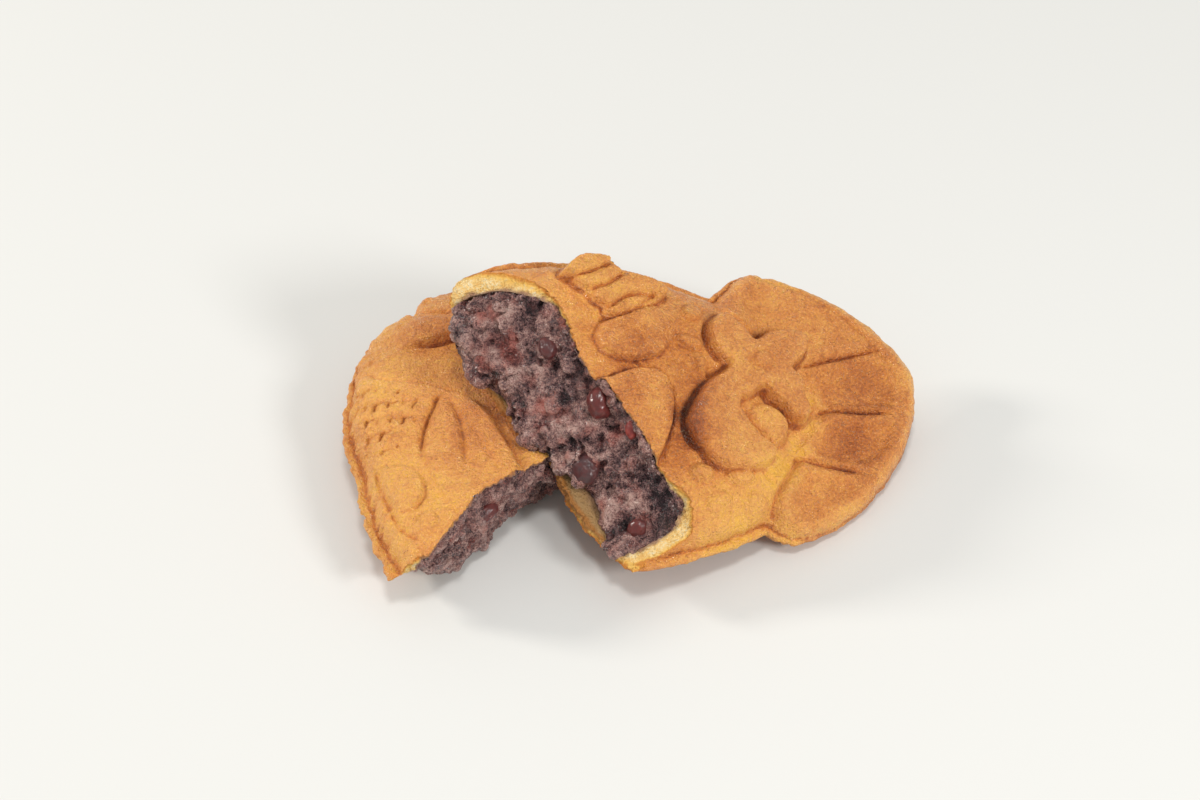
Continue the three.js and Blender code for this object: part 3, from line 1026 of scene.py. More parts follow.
HEAD_GROOVES = (
    Groove("crease behind the brow", (
        (-41.4, 8), (-41.5, 3.5), (-42, 0.8), (-42.9, -1.6), (-44.4, -4),
    ), 0.6, 0.8),
    Groove("fold between brow and snout", (
        (-55.6, 2), (-53.3, 2.8), (-51.1, 4.1), (-49.6, 5.5), (-48.2, 7.4),
    ), 0.9, 0.8),
    Groove("fin root", (
        (-9.2, -17.9), (-13.2, -15.9), (-15.8, -14.2), (-18.5, -12.2), (-20.8, -10.1), (-23.7, -7.6),
        (-24.8, -6.2),
    ), 0.75, 1.2),
    Groove("second fin crease", (
        (-0.5, -10.9), (-5.8, -8.9), (-9.4, -7.4), (-13.8, -6), (-16.6, -5.5), (-19.7, -5.1), (-22, -4.9),
    ), 0.65, 0.75, 0.15, 1.2),
    Groove("third fin crease", ((4, -4.1), (1, -4.2), (-7.7, -4.2), (-12.6, -4.3)), 0.7, 0.3),
    Groove("fourth fin crease", ((2.7, 0.7), (-1.4, 1.1), (-5.6, 1.5), (-10.6, 2.1)), 0.5, 0.4),
    Groove("edge of the belly", (
        (12.8, -28.1), (11.5, -29), (8.9, -29.9), (5.8, -30.4), (2.8, -30.4), (-2.8, -29.9),
        (-6.8, -29.5), (-10.6, -28.7), (-14.4, -27.4),
    ), 0.5, 0.8),
    Groove("scroll line", (
        (-3.4, -20.6), (0.7, -21.6), (3, -23.3), (4, -25.5), (3.3, -27.6), (1.2, -29.1),
    ), 0.4, 0.6),
    Groove("wrinkle", ((-9.3, -21), (-7, -20), (-1.1, -20.1), (2.4, -20.7)), 0.5, 0.25),
)
HEAD_SWELLS = (
    Swell((-20, -20), (8, 4), 25, 0.2),
    Swell((6, -19.6), (5, 2), 10, -0.3),
    Swell((-60.5, 1), (4, 3), 0, -0.8),
)
HEAD_PATCHES = (
    RoughPatch((-16, -24), 10, 0.16),
    RoughPatch((2, -33), 8, 0.16),
)
SCALE_FIELD = (
    (-43.5, -20.4), (-37.5, -18.5), (-32.8, -15.1), (-28.9, -11.6), (-25.4, -11.1), (-20.9, -13.7),
    (-17, -17), (-14.8, -21.1), (-14.9, -24.2), (-17.3, -27.4), (-23.5, -27.5), (-31, -25.8),
    (-38.1, -23.3),
)


@dataclass
class HeadMould(Mould):
    """The mould with the head half's figures, which add a field of scales and a wider flash."""

    scale_pitch: Spot = (4.8, 3.0)
    scale_turn: float = -36.0
    scale_wander: Unevenness = Unevenness(0.22, 4.0, 2, 8)
    scale_seed: int = 77

    def inset(self, spots: np.ndarray) -> np.ndarray:
        """Measure how far points lie inside the outline, fuller at the belly and cut at the snout."""
        x, y = spots.T
        belly_flash = (0.7 - 0.6 * smoothstep(x, -34, -18)) * smoothstep(-y, -2, 8)
        over_mouth = smoothstep(y, 2.2, 4.4)
        cut = 0.5 * smoothstep(y, -16, -10) + 2.3 * smoothstep(y, -7, -1.5)
        cut += 1.6 * smoothstep(y, -1, 1.2) * (1 - over_mouth) - 0.3 * over_mouth
        return super().inset(spots) + belly_flash - cut * smoothstep(-x, 44, 54)

    def flash_reach(self, spots: np.ndarray) -> np.ndarray:
        """Give the flash's width, which is small round the snout."""
        return super().flash_reach(spots) * (0.3 + 0.7 * smoothstep(spots[:, 0], -56, -38))

    def relief(self, spots: np.ndarray, dome: np.ndarray) -> np.ndarray:
        """Give the figures' height, with the field of scales."""
        ring = along_curve(SCALE_FIELD, True)
        mask = smoothstep(depth_in_ring(spots, ring, PAD_REACH), -0.4, 0.9)
        return super().relief(spots, dome) + mask * self.scales(spots)

    def scales(self, spots: np.ndarray) -> np.ndarray:
        """Give the height of worn scales in staggered rows, each a low pillow with a hooked edge."""
        wander = self.scale_wander.at(spots)
        u, v = turned(spots, (0, 0), self.scale_turn)
        u, v = u / self.scale_pitch[0] + wander, v / self.scale_pitch[1] - wander
        row = np.floor(u)
        shift = 0.5 * np.mod(row, 2)
        column = np.floor(v - shift)
        off_u, off_v = u - row - 0.5, v - shift - column - 0.5
        own = lattice_lean(np.column_stack([row, column, 0 * row]).astype(np.int64), self.scale_seed)[:, 0]
        bar = hump(off_u + 0.5 * off_v**2, -0.3, 0.1) * (1 - smoothstep(off_v, 0.2, 0.42))
        stem = hump(off_v, -0.3, 0.14) * smoothstep(off_u, -0.42, -0.3)
        hook = np.maximum(bar * smoothstep(off_v, -0.45, -0.3), stem * (1 - smoothstep(off_u, -0.05, 0.25)))
        pillow = np.clip((1 - np.abs(2 * off_u) ** 3) * (1 - np.abs(2 * off_v) ** 2.4), 0, 1)
        return 0.35 * pillow - hook * (0.8 + 0.5 * own)


# ---- The crust and the paste ----

GRID_MARGIN = 3.0
TOP_STEP = 0.34
BASE_STEP = 0.9
CORE_STEP = 0.6
CORE_BASE_STEP = 0.9
TEAR_STEP = 0.36
TORN_PASTE_STEP = 0.8
TEAR_HALF = 16.0
PAST_TEAR = 30.0
FAR = 40.0
LIP_THICK = 0.8
WALL_THICK = 1.2

TORN_STRETCH = 0.3
BUBBLE_SIZE = 1.2
BUBBLE_DEPTH = 0.7
BUBBLE_MIDDLE = 0.6
BUBBLE_SEED = 6
LIP_FADE = (2.0, 6.0)
COVER_FADE = (4.0, 9.0)
SHOWN_FADE = (2.5, 5.5)
FREE_FADE = (-0.6, 0.6)
HIDDEN_PAST = 7.0
HIDDEN_RATIO = 0.5
LUMP_Y = (-28, 33)
LUMP_Z = (-6.5, 7.4)
LUMP_SIZE = (0.8, 2.3)
LUMP_STANDS_OUT = (0.05, 0.75)
LUMP_SCALES = ((0.8, 1.1), (0.9, 1.5), (0.6, 0.95))
BEAN_NEAR = 0.9
BEAN_TILT = (0.3, 0.2)
BEAN_SEED_STEP = 7.0
STAIN_HEIGHTS = (-3.5, -0.5)
HOLLOW_ROUNDS = 14
EDGE_DEPTH = 0.2

TORN_PASTE = Unevenness(0.9, 7.0, 2, 1)
TORN_CRUST = Unevenness(1.0, 3.4, 3, 3)
TORN_CRUMB = Unevenness(0.3, 1.3, 2, 8)
UNDER_LIP = Unevenness(0.3, 2.2, 2, 4)
CORE_TOP = Unevenness(0.25, 5.0, 2, 5)
CORE_BASE = Unevenness(0.25, 5.0, 2, 7)
BEAN_SWELLS = Unevenness(0.09, 0.9, 2, 41)
BEAN_WRINKLES = Unevenness(0.03, 0.25, 3, 42)
BEAN_TONE = Unevenness(0.1, 1.2, 2, 43)


@dataclass(frozen=True)
class PasteSpot:
    """A place in the torn paste that differs from the rest, in millimetres in the fish's frame."""

    name: str
    at: tuple[float, float, float]
    radius: float
    tone: float = 0.0
    red: float = 0.0
    wet: float = 0.0
    push: float = 0.0


@dataclass(frozen=True)
class Bean:
    """A boiled bean that shows at the torn paste, in millimetres in the fish's frame."""

    name: str
    at: Spot
    radii: tuple[float, float, float]
    turn: float
    tone: float
    sunk: float = 0.35

    def build(self, x: float, index: int) -> Piece:
        """Model the bean, slightly wrinkled.

        Args:
            x: Where its middle lies along the fish.
            index: Its number, which picks its wrinkles.

        Returns:
            The bean.
        """
        made = add_ball(5)
        points = points_of(made)
        dent = 0.1 * np.exp(-(points[:, 1] ** 2 + (points[:, 2] - 1) ** 2) / 0.3)
        swells = BEAN_SWELLS.at(points + index * BEAN_SEED_STEP)
        wrinkles = BEAN_WRINKLES.at(points + index * BEAN_SEED_STEP)
        move_points(made, points * (1 + swells + wrinkles - dent)[:, None])
        made.scale = self.radii
        made.rotation_euler = (math.radians(self.turn), *BEAN_TILT)
        made.location = (x, *self.at)
        apply_place(made)
        write_values(made, "tone", self.tone + BEAN_TONE.at(points_of(made)))
        return made


@dataclass(frozen=True)
class Pebbles:
    """Packed grains that stand out of the paste: how high, how far apart and of which pattern."""

    height: float
    size: float
    seed: int

    def at(self, points: np.ndarray, seed: int) -> np.ndarray:
        """Give the grains' height at each place, of a further pattern by seed."""
        return self.height * (pebbles(points, self.size, self.seed + seed) - 0.5)


@dataclass(frozen=True)
class Mash:
    """How coarse the torn paste is, in millimetres, and how its colour and wetness wander."""

    patches: Unevenness = Unevenness(1.0, 5.0, 2, 24)
    lumps: Pebbles = Pebbles(0.5, 2.8, 20)
    grains: Pebbles = Pebbles(0.36, 1.1, 21)
    fine_grains: Pebbles = Pebbles(0.24, 0.7, 30)
    swells: Unevenness = Unevenness(1.0, 4.5, 3, 22)
    roughness: Unevenness = Unevenness(0.12, 0.8, 2, 25)
    holes: Unevenness = Unevenness(1.0, 3.0, 2, 26)
    hole_depth: float = 1.2
    mean_tone: float = 0.06
    tones: tuple[Unevenness, ...] = (Unevenness(0.22, 4.6, 2, 23), Unevenness(0.26, 1.5, 2, 27))
    spot_tone: float = 1.1
    mean_red: float = 0.22
    reds: Unevenness = Unevenness(0.5, 3.2, 2, 28)
    mean_wet: float = 0.3
    wets: Unevenness = Unevenness(0.9, 2.6, 2, 29)

    def push(self, points: np.ndarray, seed: int) -> np.ndarray:
        """Give how far each place of the paste stands out."""
        patchy = smoothstep(self.patches.at(points, seed), -0.2, 0.4)
        out = self.lumps.at(points, seed) + patchy * self.grains.at(points, seed)
        out += (0.3 + 0.7 * patchy) * self.fine_grains.at(points, seed)
        out += self.swells.at(points, seed) + self.roughness.at(points, seed)
        return out - self.hole_depth * smoothstep(self.holes.at(points, seed), 0.38, 0.8)

    def values(self, points: np.ndarray, seed: int, spots: tuple[PasteSpot, ...]) -> dict[str, np.ndarray]:
        """Give the paste's push, tone, red and wet at each place, with those of its single spots."""
        given = {
            "push": self.push(points, seed),
            "tone": self.mean_tone + sum(tone.at(points, seed) for tone in self.tones),
            "red": self.mean_red + self.reds.at(points, seed),
            "wet": self.mean_wet + self.wets.at(points, seed),
        }
        for spot in spots:
            share = round_share(points, spot.at, spot.radius)
            given["tone"] += self.spot_tone * spot.tone * share
            given["red"] += spot.red * share
            given["wet"] += spot.wet * share
            given["push"] += spot.push * share
        return given


TAIL_SPOTS = (
    # The spots named hole, slot and gap are pushed in and darkened: painted shade in the holes.
    PasteSpot("dark skin at the top", (0.5, 30, 4.8), 2.2, -0.35, 0, 1.0, 0.2),
    PasteSpot("dark skin's lower end", (2.6, 27.9, 5.3), 1.8, -0.3, 0.1, 1.0, 0.2),
    PasteSpot("pale slab's left end", (-9.1, 27.8, 0.6), 2.0, 0.3, 0.55, 0.2, 0.9),
    PasteSpot("pale slab's right end", (-4.5, 27.4, 2.3), 2.4, 0.34, 0.2, 0.3, 0.8),
    PasteSpot("wet streak", (-5.9, 24.1, 1.3), 1.2, 0.0, 0.2, 1.0, 0.1),
    PasteSpot("dark left edge", (-13.4, 26.3, -1.6), 3.0, -0.34, -0.3, 0.2, -0.1),
    PasteSpot("smooth grey", (1.5, 24.5, 4.3), 2.6, -0.05, -0.3, 0.2, 0.0),
    PasteSpot("red clump", (-4.2, 18.8, 1.0), 2.4, 0.05, 0.8, 0.3, 0.4),
    PasteSpot("top of the red clump", (-3.0, 21.2, 1.9), 1.6, 0.2, 0.5, 0.3, 0.5),
    PasteSpot("pink column", (-10, 19.8, -1.4), 1.9, 0.22, 0.5, 0.2, 0.9),
    PasteSpot("pink column's foot", (-10.9, 17, -2.9), 1.6, 0.15, 0.4, 0.2, 0.5),
    PasteSpot("pale ledge", (-7.7, 17.6, -0.9), 1.3, 0.34, 0.2, 0.3, 0.8),
    PasteSpot("hole under the ledge", (-8.1, 15.2, -1.6), 1.3, -0.5, 0, 0, -1.6),
    PasteSpot("grey grains", (-3.3, 13.2, 0.3), 2.6, 0.12, -0.35, 0.3, 0.2),
    PasteSpot("dark wet grains", (-2.1, 10.1, 0), 1.9, -0.4, -0.2, 1.0, 0.1),
    PasteSpot("grey middle", (-0.8, 16.3, 2), 1.8, 0.0, -0.2, 0.1, 0.0),
    PasteSpot("hole under the brown bean", (4.8, 13.6, 4.4), 1.4, -0.5, 0, 0.3, -1.3),
    PasteSpot("dark by the crust", (8.3, 13, 7), 2.4, -0.2, -0.1, 0.3, 0.0),
    PasteSpot("pink clump", (-0.1, 6, -0.4), 2.8, 0.24, 0.5, 0.2, 0.6),
    PasteSpot("pink below", (2, 3.6, -0.1), 2.0, 0.2, 0.4, 0.2, 0.4),
    PasteSpot("dark grains", (6.5, 6.1, 3.1), 2.0, -0.42, -0.2, 0.9, -0.4),
    PasteSpot("dark slot", (9.6, 5.6, 7), 1.1, -0.5, 0, 0, -1.2),
    PasteSpot("hole over the grey bean", (6.3, -3.6, -0.3), 1.2, -0.5, 0, 0, -1.4),
    PasteSpot("pink left of the grey bean", (5.5, -6.2, -2.1), 1.5, 0.25, 0.5, 0.2, 0.4),
    PasteSpot("pink right of the grey bean", (10.7, -9.5, -0.7), 1.8, 0.25, 0.5, 0.2, 0.4),
    PasteSpot("granular middle", (9.7, -1.1, 2.4), 3.0, 0.08, -0.1, 0.2, 0.2),
    PasteSpot("pink by the crust", (15.8, -4.4, 5.4), 1.8, 0.22, 0.5, 0.2, 0.3),
    PasteSpot("red by the crust", (19.5, -12.8, 4.3), 2.2, 0.0, 0.5, 0.2, 0.2),
    PasteSpot("wet", (15.8, -11.4, 1.2), 1.8, -0.1, 0.2, 1.0, 0.1),
    PasteSpot("dark mass", (20.6, -15.5, 4.3), 3.0, -0.42, -0.5, 0.8, -0.3),
    PasteSpot("dark mass below", (22.5, -20.9, 3.6), 3.2, -0.42, -0.5, 0.8, -0.2),
    PasteSpot("dark mass's corner", (24.6, -24.5, 3.6), 2.6, -0.4, -0.3, 0.8, 0.0),
    PasteSpot("black gap", (24.6, -20.2, 5.4), 1.2, -0.5, 0, 0, -1.6),
    PasteSpot("dark end", (22.1, -27.3, 1.9), 2.4, -0.35, 0.0, 0.6, 0.0),
    PasteSpot("pale middle", (17.9, -19.4, 0.2), 2.4, 0.2, 0.1, 0.2, 0.4),
    PasteSpot("pink foot", (11.8, -19.5, -5), 2.6, 0.2, 0.35, 0.2, 0.3),
    PasteSpot("first low hole", (15.2, -24.5, -2), 1.4, -0.5, 0, 0, -1.5),
    PasteSpot("second low hole", (11.6, -25.4, -4.4), 1.3, -0.45, 0, 0, -1.2),
    PasteSpot("brown foot", (15.6, -29.1, -1.6), 2.2, -0.1, 0.3, 0.3, 0.0),
)
HEAD_SPOTS = (
    PasteSpot("dark left end", (12, -25, 0), 3.0, -0.25, -0.2, 0.6, 0.0),
    PasteSpot("pale middle", (8, -12, 0), 3.0, 0.14, 0.2, 0.2, 0.3),
    PasteSpot("pale right end", (5, 2, 0), 3.0, 0.12, 0.1, 0.2, 0.2),
)
TAIL_BEANS = (
    Bean("large red bean", (2.6, 6.6), (3.0, 3.7, 2.9), 35, 0.62, 0.9),
    Bean("bright red bean", (-5.2, 8.4), (1.5, 2.4, 1.6), 30, 0.9, 1.05),
    Bean("large grey bean", (-9.2, -3.0), (2.9, 3.7, 3.5), 10, 0.42, 1.15),
    Bean("brown bean", (17.8, 5.0), (2.2, 2.7, 2.4), 10, 0.5, 1.1),
    Bean("low red bean", (-26.2, -0.6), (1.9, 3.0, 2.2), 70, 0.62, 1.2),
)
HEAD_BEANS = (
    Bean("red bean of the strip", (-9.8, 3.6), (1.8, 3.2, 2.3), 15, 0.62, 1.0),
    Bean("grey bean of the strip", (-18.6, -1.4), (1.6, 2.8, 2.0), 0, 0.3, 1.05),
)


@dataclass(frozen=True)
class BakeAndShadeSpot:
    """A place where the skin is coloured darker or paler, in millimetres: by its baking, and in a few sunken
    spots by painted shade.
    """

    at: Spot
    radius: float
    change: float


BAKE_WIDE = Unevenness(0.1, 16.0, 2, 31)
BAKE_CLOSE = Unevenness(0.07, 4.0, 2, 32)
BAKE_UNDER = Unevenness(0.1, 12.0, 2, 33)
BAKE_BELOW = 0.56
PALE_RIM = 0.12
PALE_RIM_FADE = (2.4, 4.0)
BELOW_FADE = 1.5

HEAD_BAKE = (
    BakeAndShadeSpot((-58, -6), 7.0, -0.22),
    BakeAndShadeSpot((-46, 4), 7.0, 0.16),
    BakeAndShadeSpot((-14, 8), 9.0, 0.09),
    BakeAndShadeSpot((-14, -8), 8.0, 0.1),
    BakeAndShadeSpot((-40, -16), 9.0, -0.15),
    BakeAndShadeSpot((-26, -20), 8.0, -0.14),
    BakeAndShadeSpot((-4, -26), 9.0, -0.11),
    BakeAndShadeSpot((10, -32), 8.0, -0.06),
)
TAIL_BAKE_AND_SHADE = (
    BakeAndShadeSpot((66.8, 0), 2.4, -0.34),
    BakeAndShadeSpot((64.5, -6.5), 3.0, -0.4),
    BakeAndShadeSpot((60, -12), 3.2, -0.38),
    BakeAndShadeSpot((54, -17), 3.6, -0.38),
    BakeAndShadeSpot((48, -20), 4.0, -0.26),
    BakeAndShadeSpot((42, -27), 10.0, -0.12),
    BakeAndShadeSpot((36, -33), 8.0, -0.16),
    BakeAndShadeSpot((52, -6), 5.0, -0.24),
    BakeAndShadeSpot((79, 4), 10.5, 0.17),
    BakeAndShadeSpot((75, -12), 9.0, 0.2),
    BakeAndShadeSpot((76, 17), 7.0, 0.04),
    BakeAndShadeSpot((94, 4), 5.0, -0.06),
    # Painted shade: the next four spots darken the sunken ground beside the leaf and the large petal.
    BakeAndShadeSpot((31.0, -3.2), 4.0, 0.22),
    BakeAndShadeSpot((30.2, -10.1), 4.2, 0.26),
    BakeAndShadeSpot((25.4, -15.1), 3.0, 0.16),
    BakeAndShadeSpot((36.0, 2.5), 3.4, 0.16),
    BakeAndShadeSpot((16, 2), 7.0, 0.15),
    BakeAndShadeSpot((22, 16), 7.0, 0.1),
    BakeAndShadeSpot((11, 21), 5.0, 0.1),
    BakeAndShadeSpot((18, 36), 10.0, -0.14),
    BakeAndShadeSpot((6, 32), 9.0, -0.1),
    BakeAndShadeSpot((36, 9), 6.0, 0.08),
    # Painted shade: this spot darkens the same sunken ground between the leaf and the petal.
    BakeAndShadeSpot((30.5, -4), 4.0, 0.14),
    BakeAndShadeSpot((57, 26), 8.0, 0.04),
    BakeAndShadeSpot((62, -23), 7.0, 0.08),
)


@dataclass
class TaiyakiHalf:
    """One half of the fish: its crust, the paste in it and where it lies."""

    half: Half
    mould: Mould
    tear: Tear
    place: Matrix
    spots: tuple[PasteSpot, ...]
    beans: tuple[Bean, ...]
    bake_base: float
    bake_and_shade_spots: tuple[BakeAndShadeSpot, ...]
    torn_rough: float
    lump_count: int
    seed: int
    mash: Mash = Mash()
    paste_voxel: float = 0.28

    def span(self) -> tuple[float, float]:
        """Give the lowest and highest x that the half may reach."""
        if self.half is Half.HEAD:
            return self.mould.snout_x - GRID_MARGIN, PAST_TEAR
        return -PAST_TEAR, self.mould.tail_x + GRID_MARGIN

    def width(self) -> float:
        """Give how far the fish is across."""
        return self.mould.back_y - self.mould.belly_y

    def middle_y(self) -> float:
        """Give y halfway across the fish."""
        return (self.mould.back_y + self.mould.belly_y) / 2

    def face_body(self, name: str, step: float, face: Heights, upward: bool) -> Piece:
        """Model the body under an upper face, or over a lower one.

        Args:
            name: The body's name.
            step: The grid's step.
            face: Gives the face's distance from the seam at each place.
            upward: Whether it is the upper face.

        Returns:
            The body, closed far beyond the seam.
        """
        low, high = self.span()
        block = face_block(name, step, (high - low, self.width() + 2 * GRID_MARGIN), FAR)
        points = points_of(block)
        points[:, 0] += (low + high) / 2
        points[:, 1] += self.middle_y()
        front = points[:, 2] > -FAR / 2
        points[front, 2] = face(points[front, :2])
        if not upward:
            points[:, 2] *= -1
        move_points(block, points)
        if not upward:
            edit_all(block, bpy.ops.mesh.flip_normals)
        return block

    def torn_block(self, name: str, step: float, of_paste: bool) -> Piece:
        """Model the body of everything on this half's side of its torn face.

        Args:
            name: The body's name.
            step: The torn face's grid step.
            of_paste: Whether the face is the paste's and not the crust's.

        Returns:
            The body.
        """
        block = face_block(name, step, (self.width() + 4 * GRID_MARGIN, 2 * TEAR_HALF), FAR)
        local = points_of(block)
        front = local[:, 2] > -FAR / 2
        y, z = local[:, 0] + self.middle_y(), local[:, 1]
        face = self.tear.paste(y, z) if of_paste else self.tear.crust(y, z)
        spots = np.column_stack([face * TORN_STRETCH, y, z])
        rough = TORN_PASTE.at(spots, self.seed) if of_paste else self.torn_crumb(spots)
        points = np.column_stack([face + rough, y, z])
        points[~front, 0] = self.mould.tail_x + FAR if self.half is Half.TAIL else self.mould.snout_x - FAR
        move_points(block, points)
        edit_all(block, bpy.ops.mesh.normals_make_consistent, inside=False)
        return block

    def torn_crumb(self, spots: np.ndarray) -> np.ndarray:
        """Give how ragged the torn crumb is, which is more at the belly and the back."""
        y = spots[:, 1]
        ends = 1 + 0.8 * smoothstep(np.abs(y + 2), 18, 30)
        rough = self.torn_rough * ends * TORN_CRUST.at(spots, self.seed) + TORN_CRUMB.at(spots, self.seed)
        bubbles = pebbles(np.column_stack([0 * y, spots[:, 1:]]), BUBBLE_SIZE, self.seed + BUBBLE_SEED)
        return rough - self.tear.side * BUBBLE_DEPTH * (bubbles - BUBBLE_MIDDLE)

    def core_top(self, spots: np.ndarray) -> np.ndarray:
        """Give the filling's upper face, which rises to just under the skin near the tear."""
        core = self.mould.core_height(spots)
        skin = self.mould.upper(spots)
        past = self.tear.behind(np.column_stack([spots, skin]), self.tear.crust)
        grow = at_rows(spots[:, 1], self.tear.lip) * (1 - smoothstep(past, *LIP_FADE))
        under_skin = skin - LIP_THICK + UNDER_LIP.at(spots, self.seed)
        swollen = core + grow * np.maximum(under_skin - core, 0) + CORE_TOP.at(spots)
        return np.where(core > 0, self.under_cover(swollen, skin, past), core)

    def core_base(self, spots: np.ndarray) -> np.ndarray:
        """Give the filling's lower face."""
        core = self.mould.core_height(spots)
        cover = self.mould.lower(spots)
        past = self.tear.behind(np.column_stack([spots, -cover]), self.tear.crust)
        return np.where(core > 0, self.under_cover(core + CORE_BASE.at(spots), cover, past), core)

    @staticmethod
    def under_cover(core: np.ndarray, cover: np.ndarray, past: np.ndarray) -> np.ndarray:
        """Keep the filling's face a wall's thickness inside the crust where it doesn't show.

        Args:
            core: The face's distance from the seam.
            cover: The crust's.
            past: How far behind the tear each place lies.

        Returns:
            The face's distance, lowered where the crust is thin.
        """
        return core - smoothstep(past, *COVER_FADE) * np.maximum(core - (cover - WALL_THICK), 0)

    def core(self, name: str) -> Piece:
        """Model the whole filling, a flat oval cake of paste."""
        body = self.face_body(name, CORE_STEP, self.core_top, True)
        combine(body, self.face_body("core base", CORE_BASE_STEP, self.core_base, False), "INTERSECT")
        return body

    def build_solid(self) -> Piece:
        """Model the torn half as one solid."""
        solid = self.face_body(f"{self.half.value}_baked_crust", TOP_STEP, self.mould.upper, True)
        combine(solid, self.face_body("base", BASE_STEP, self.mould.lower, False), "INTERSECT")
        combine(solid, self.torn_block("torn crust", TEAR_STEP, False), "INTERSECT")
        return solid

    def build_paste(self) -> Piece:
        """Model the torn paste with its mashed lumps, in one even skin."""
        paste = self.core(f"{self.half.value}_torn_bean_paste")
        combine(paste, self.torn_block("torn paste", TORN_PASTE_STEP, True), "INTERSECT")
        paste = join([paste, *self.lumps()], paste.name)
        apply_modifier(paste, "REMESH", mode="VOXEL", voxel_size=self.paste_voxel)
        return paste

    def lumps(self) -> list[Piece]:
        """Model the mashed beans that stand out of the torn paste, as separate oval bodies."""
        draw = random.Random(self.seed)
        made = []
        for _ in range(self.lump_count):
            y = draw.uniform(*LUMP_Y)
            z = draw.uniform(*LUMP_Z)
            oval = 1 - ((y - self.mould.core_centre[1]) / self.mould.core_radii[1]) ** 2
            if abs(z) > 0.9 * self.mould.core_half * max(0.0, oval) ** 0.5:
                continue
            size = draw.uniform(*LUMP_SIZE)
            out = self.tear.side * size * draw.uniform(*LUMP_STANDS_OUT)
            x = float(self.tear.paste(np.array([y]), np.array([z]))[0]) + out
            lump = add_ball(3, size)
            lump.location = (x, y, z)
            lump.scale = [draw.uniform(*limits) for limits in LUMP_SCALES]
            lump.rotation_euler = [draw.uniform(-1, 1) for _ in range(3)]
            apply_place(lump)
            made.append(lump)
        return made

    def roughen_paste(self, paste: Piece) -> None:
        """Give the torn paste its lumps, holes and grains, and thin out what is hidden."""
        points = points_of(paste)
        normals = read_rows(paste.data.vertex_normals, "vector")
        past = self.tear.behind(points, self.tear.paste)
        exposed = 1 - smoothstep(past, *SHOWN_FADE)
        shown = exposed > 0
        close = points[shown]
        values = self.mash.values(close, self.seed, self.spots)
        spots, z = close[:, :2], close[:, 2]
        room = np.minimum(self.mould.upper(spots) - z, z + self.mould.lower(spots))
        free = 1 - smoothstep(past[shown], *FREE_FADE)
        push = np.minimum(values.pop("push"), np.maximum(room - 0.5, -0.6) + 3 * free)
        points[shown] += normals[shown] * (exposed[shown] * push)[:, None]
        move_points(paste, points)
        # Painted shade and light: the paste's colour turns darker where it is pushed in and lighter where it
        # stands out.
        values["painted_relief_shading"] = np.clip(-push, -1, 1.5)
        for name, shown_values in values.items():
            all_values = np.zeros(len(points))
            all_values[shown] = shown_values
            write_values(paste, name, all_values)
        thin_out(paste, past > HIDDEN_PAST, HIDDEN_RATIO)

    def build_beans(self, paste: Piece) -> Piece:
        """Model the whole beans, each half sunk in the torn paste, as one piece."""
        surface = points_of(paste)
        made = []
        for index, bean in enumerate(self.beans):
            near = surface[np.hypot(surface[:, 1] - bean.at[0], surface[:, 2] - bean.at[1]) < BEAN_NEAR]
            face_x = near[np.argmin(self.tear.side * near[:, 0]), 0]
            made.append(bean.build(float(face_x + self.tear.side * bean.sunk * bean.radii[0]), index))
        return join(made, f"{self.half.value}_whole_beans")

    def dress_crust(self, crust: Piece) -> None:
        """Store where a crust is skin, crumb or stained by paste; how brown it is, with painted shade in a
        few sunken spots; and how deep it lies in hollows, for painted shade in creases.
        """
        points = points_of(crust)
        spots, z = points[:, :2], points[:, 2]
        upper = self.mould.upper(spots)
        under_skin = np.minimum(upper - z, z + self.mould.lower(spots))
        depth = np.minimum(under_skin, np.maximum(self.mould.inset(spots), 0) + EDGE_DEPTH)
        core = self.core_top(spots)
        beside = np.hypot(np.minimum(core, 0), np.maximum(np.abs(z) - self.mould.core_rim_half, 0))
        write_values(crust, "depth", depth)
        write_values(crust, "gap", np.where(core > 0, np.abs(z) - core, beside))
        write_values(crust, "behind", self.tear.behind(points, self.tear.crust))
        write_values(crust, "stain", smoothstep(z, *STAIN_HEIGHTS))
        # How far the skin lies below the surface round it, which the skin's colour turns into painted shade.
        write_values(crust, "hollow", hollows_of(crust, upper, HOLLOW_ROUNDS) * smoothstep(z, -0.5, 0.5))
        write_values(crust, "bake_and_shade", self.bake_and_shade(points))

    def bake_and_shade(self, points: np.ndarray) -> np.ndarray:
        """Say how brown the skin is, with painted shade in a few sunken spots: 0 pale yellow, 1 dark brown.
        """
        spots = points[:, :2]
        brown = self.bake_base + BAKE_WIDE.at(spots) + BAKE_CLOSE.at(spots)
        # Some of these spots paint shade into sunken ground.
        for spot in self.bake_and_shade_spots:
            brown += spot.change * round_share(spots, spot.at, spot.radius)
        rim = 1 - smoothstep(self.mould.inset(spots), *PALE_RIM_FADE)
        brown -= PALE_RIM * self.mould.fan_share(spots) * rim
        below = smoothstep(-points[:, 2], 0, BELOW_FADE)
        return brown * (1 - below) + (BAKE_BELOW + BAKE_UNDER.at(spots)) * below


# ---- Materials ----

Colour = tuple[float, float, float, float]


def linear(red: int, green: int, blue: int) -> Colour:
    """Turn a colour of 0 to 255 into linear light."""
    def bend(value: int) -> float:
        """Bend one channel."""
        share = value / 255
        return share / 12.92 if share <= 0.04045 else ((share + 0.055) / 1.055) ** 2.4

    return bend(red), bend(green), bend(blue), 1.0


BAKED_BATTER = (
    (0.0, linear(255, 193, 80)),
    (0.2, linear(250, 181, 92)),
    (0.38, linear(235, 153, 76)),
    (0.52, linear(212, 126, 58)),
    (0.68, linear(174, 92, 41)),
    (0.84, linear(122, 57, 27)),
    (1.0, linear(84, 40, 22)),
)


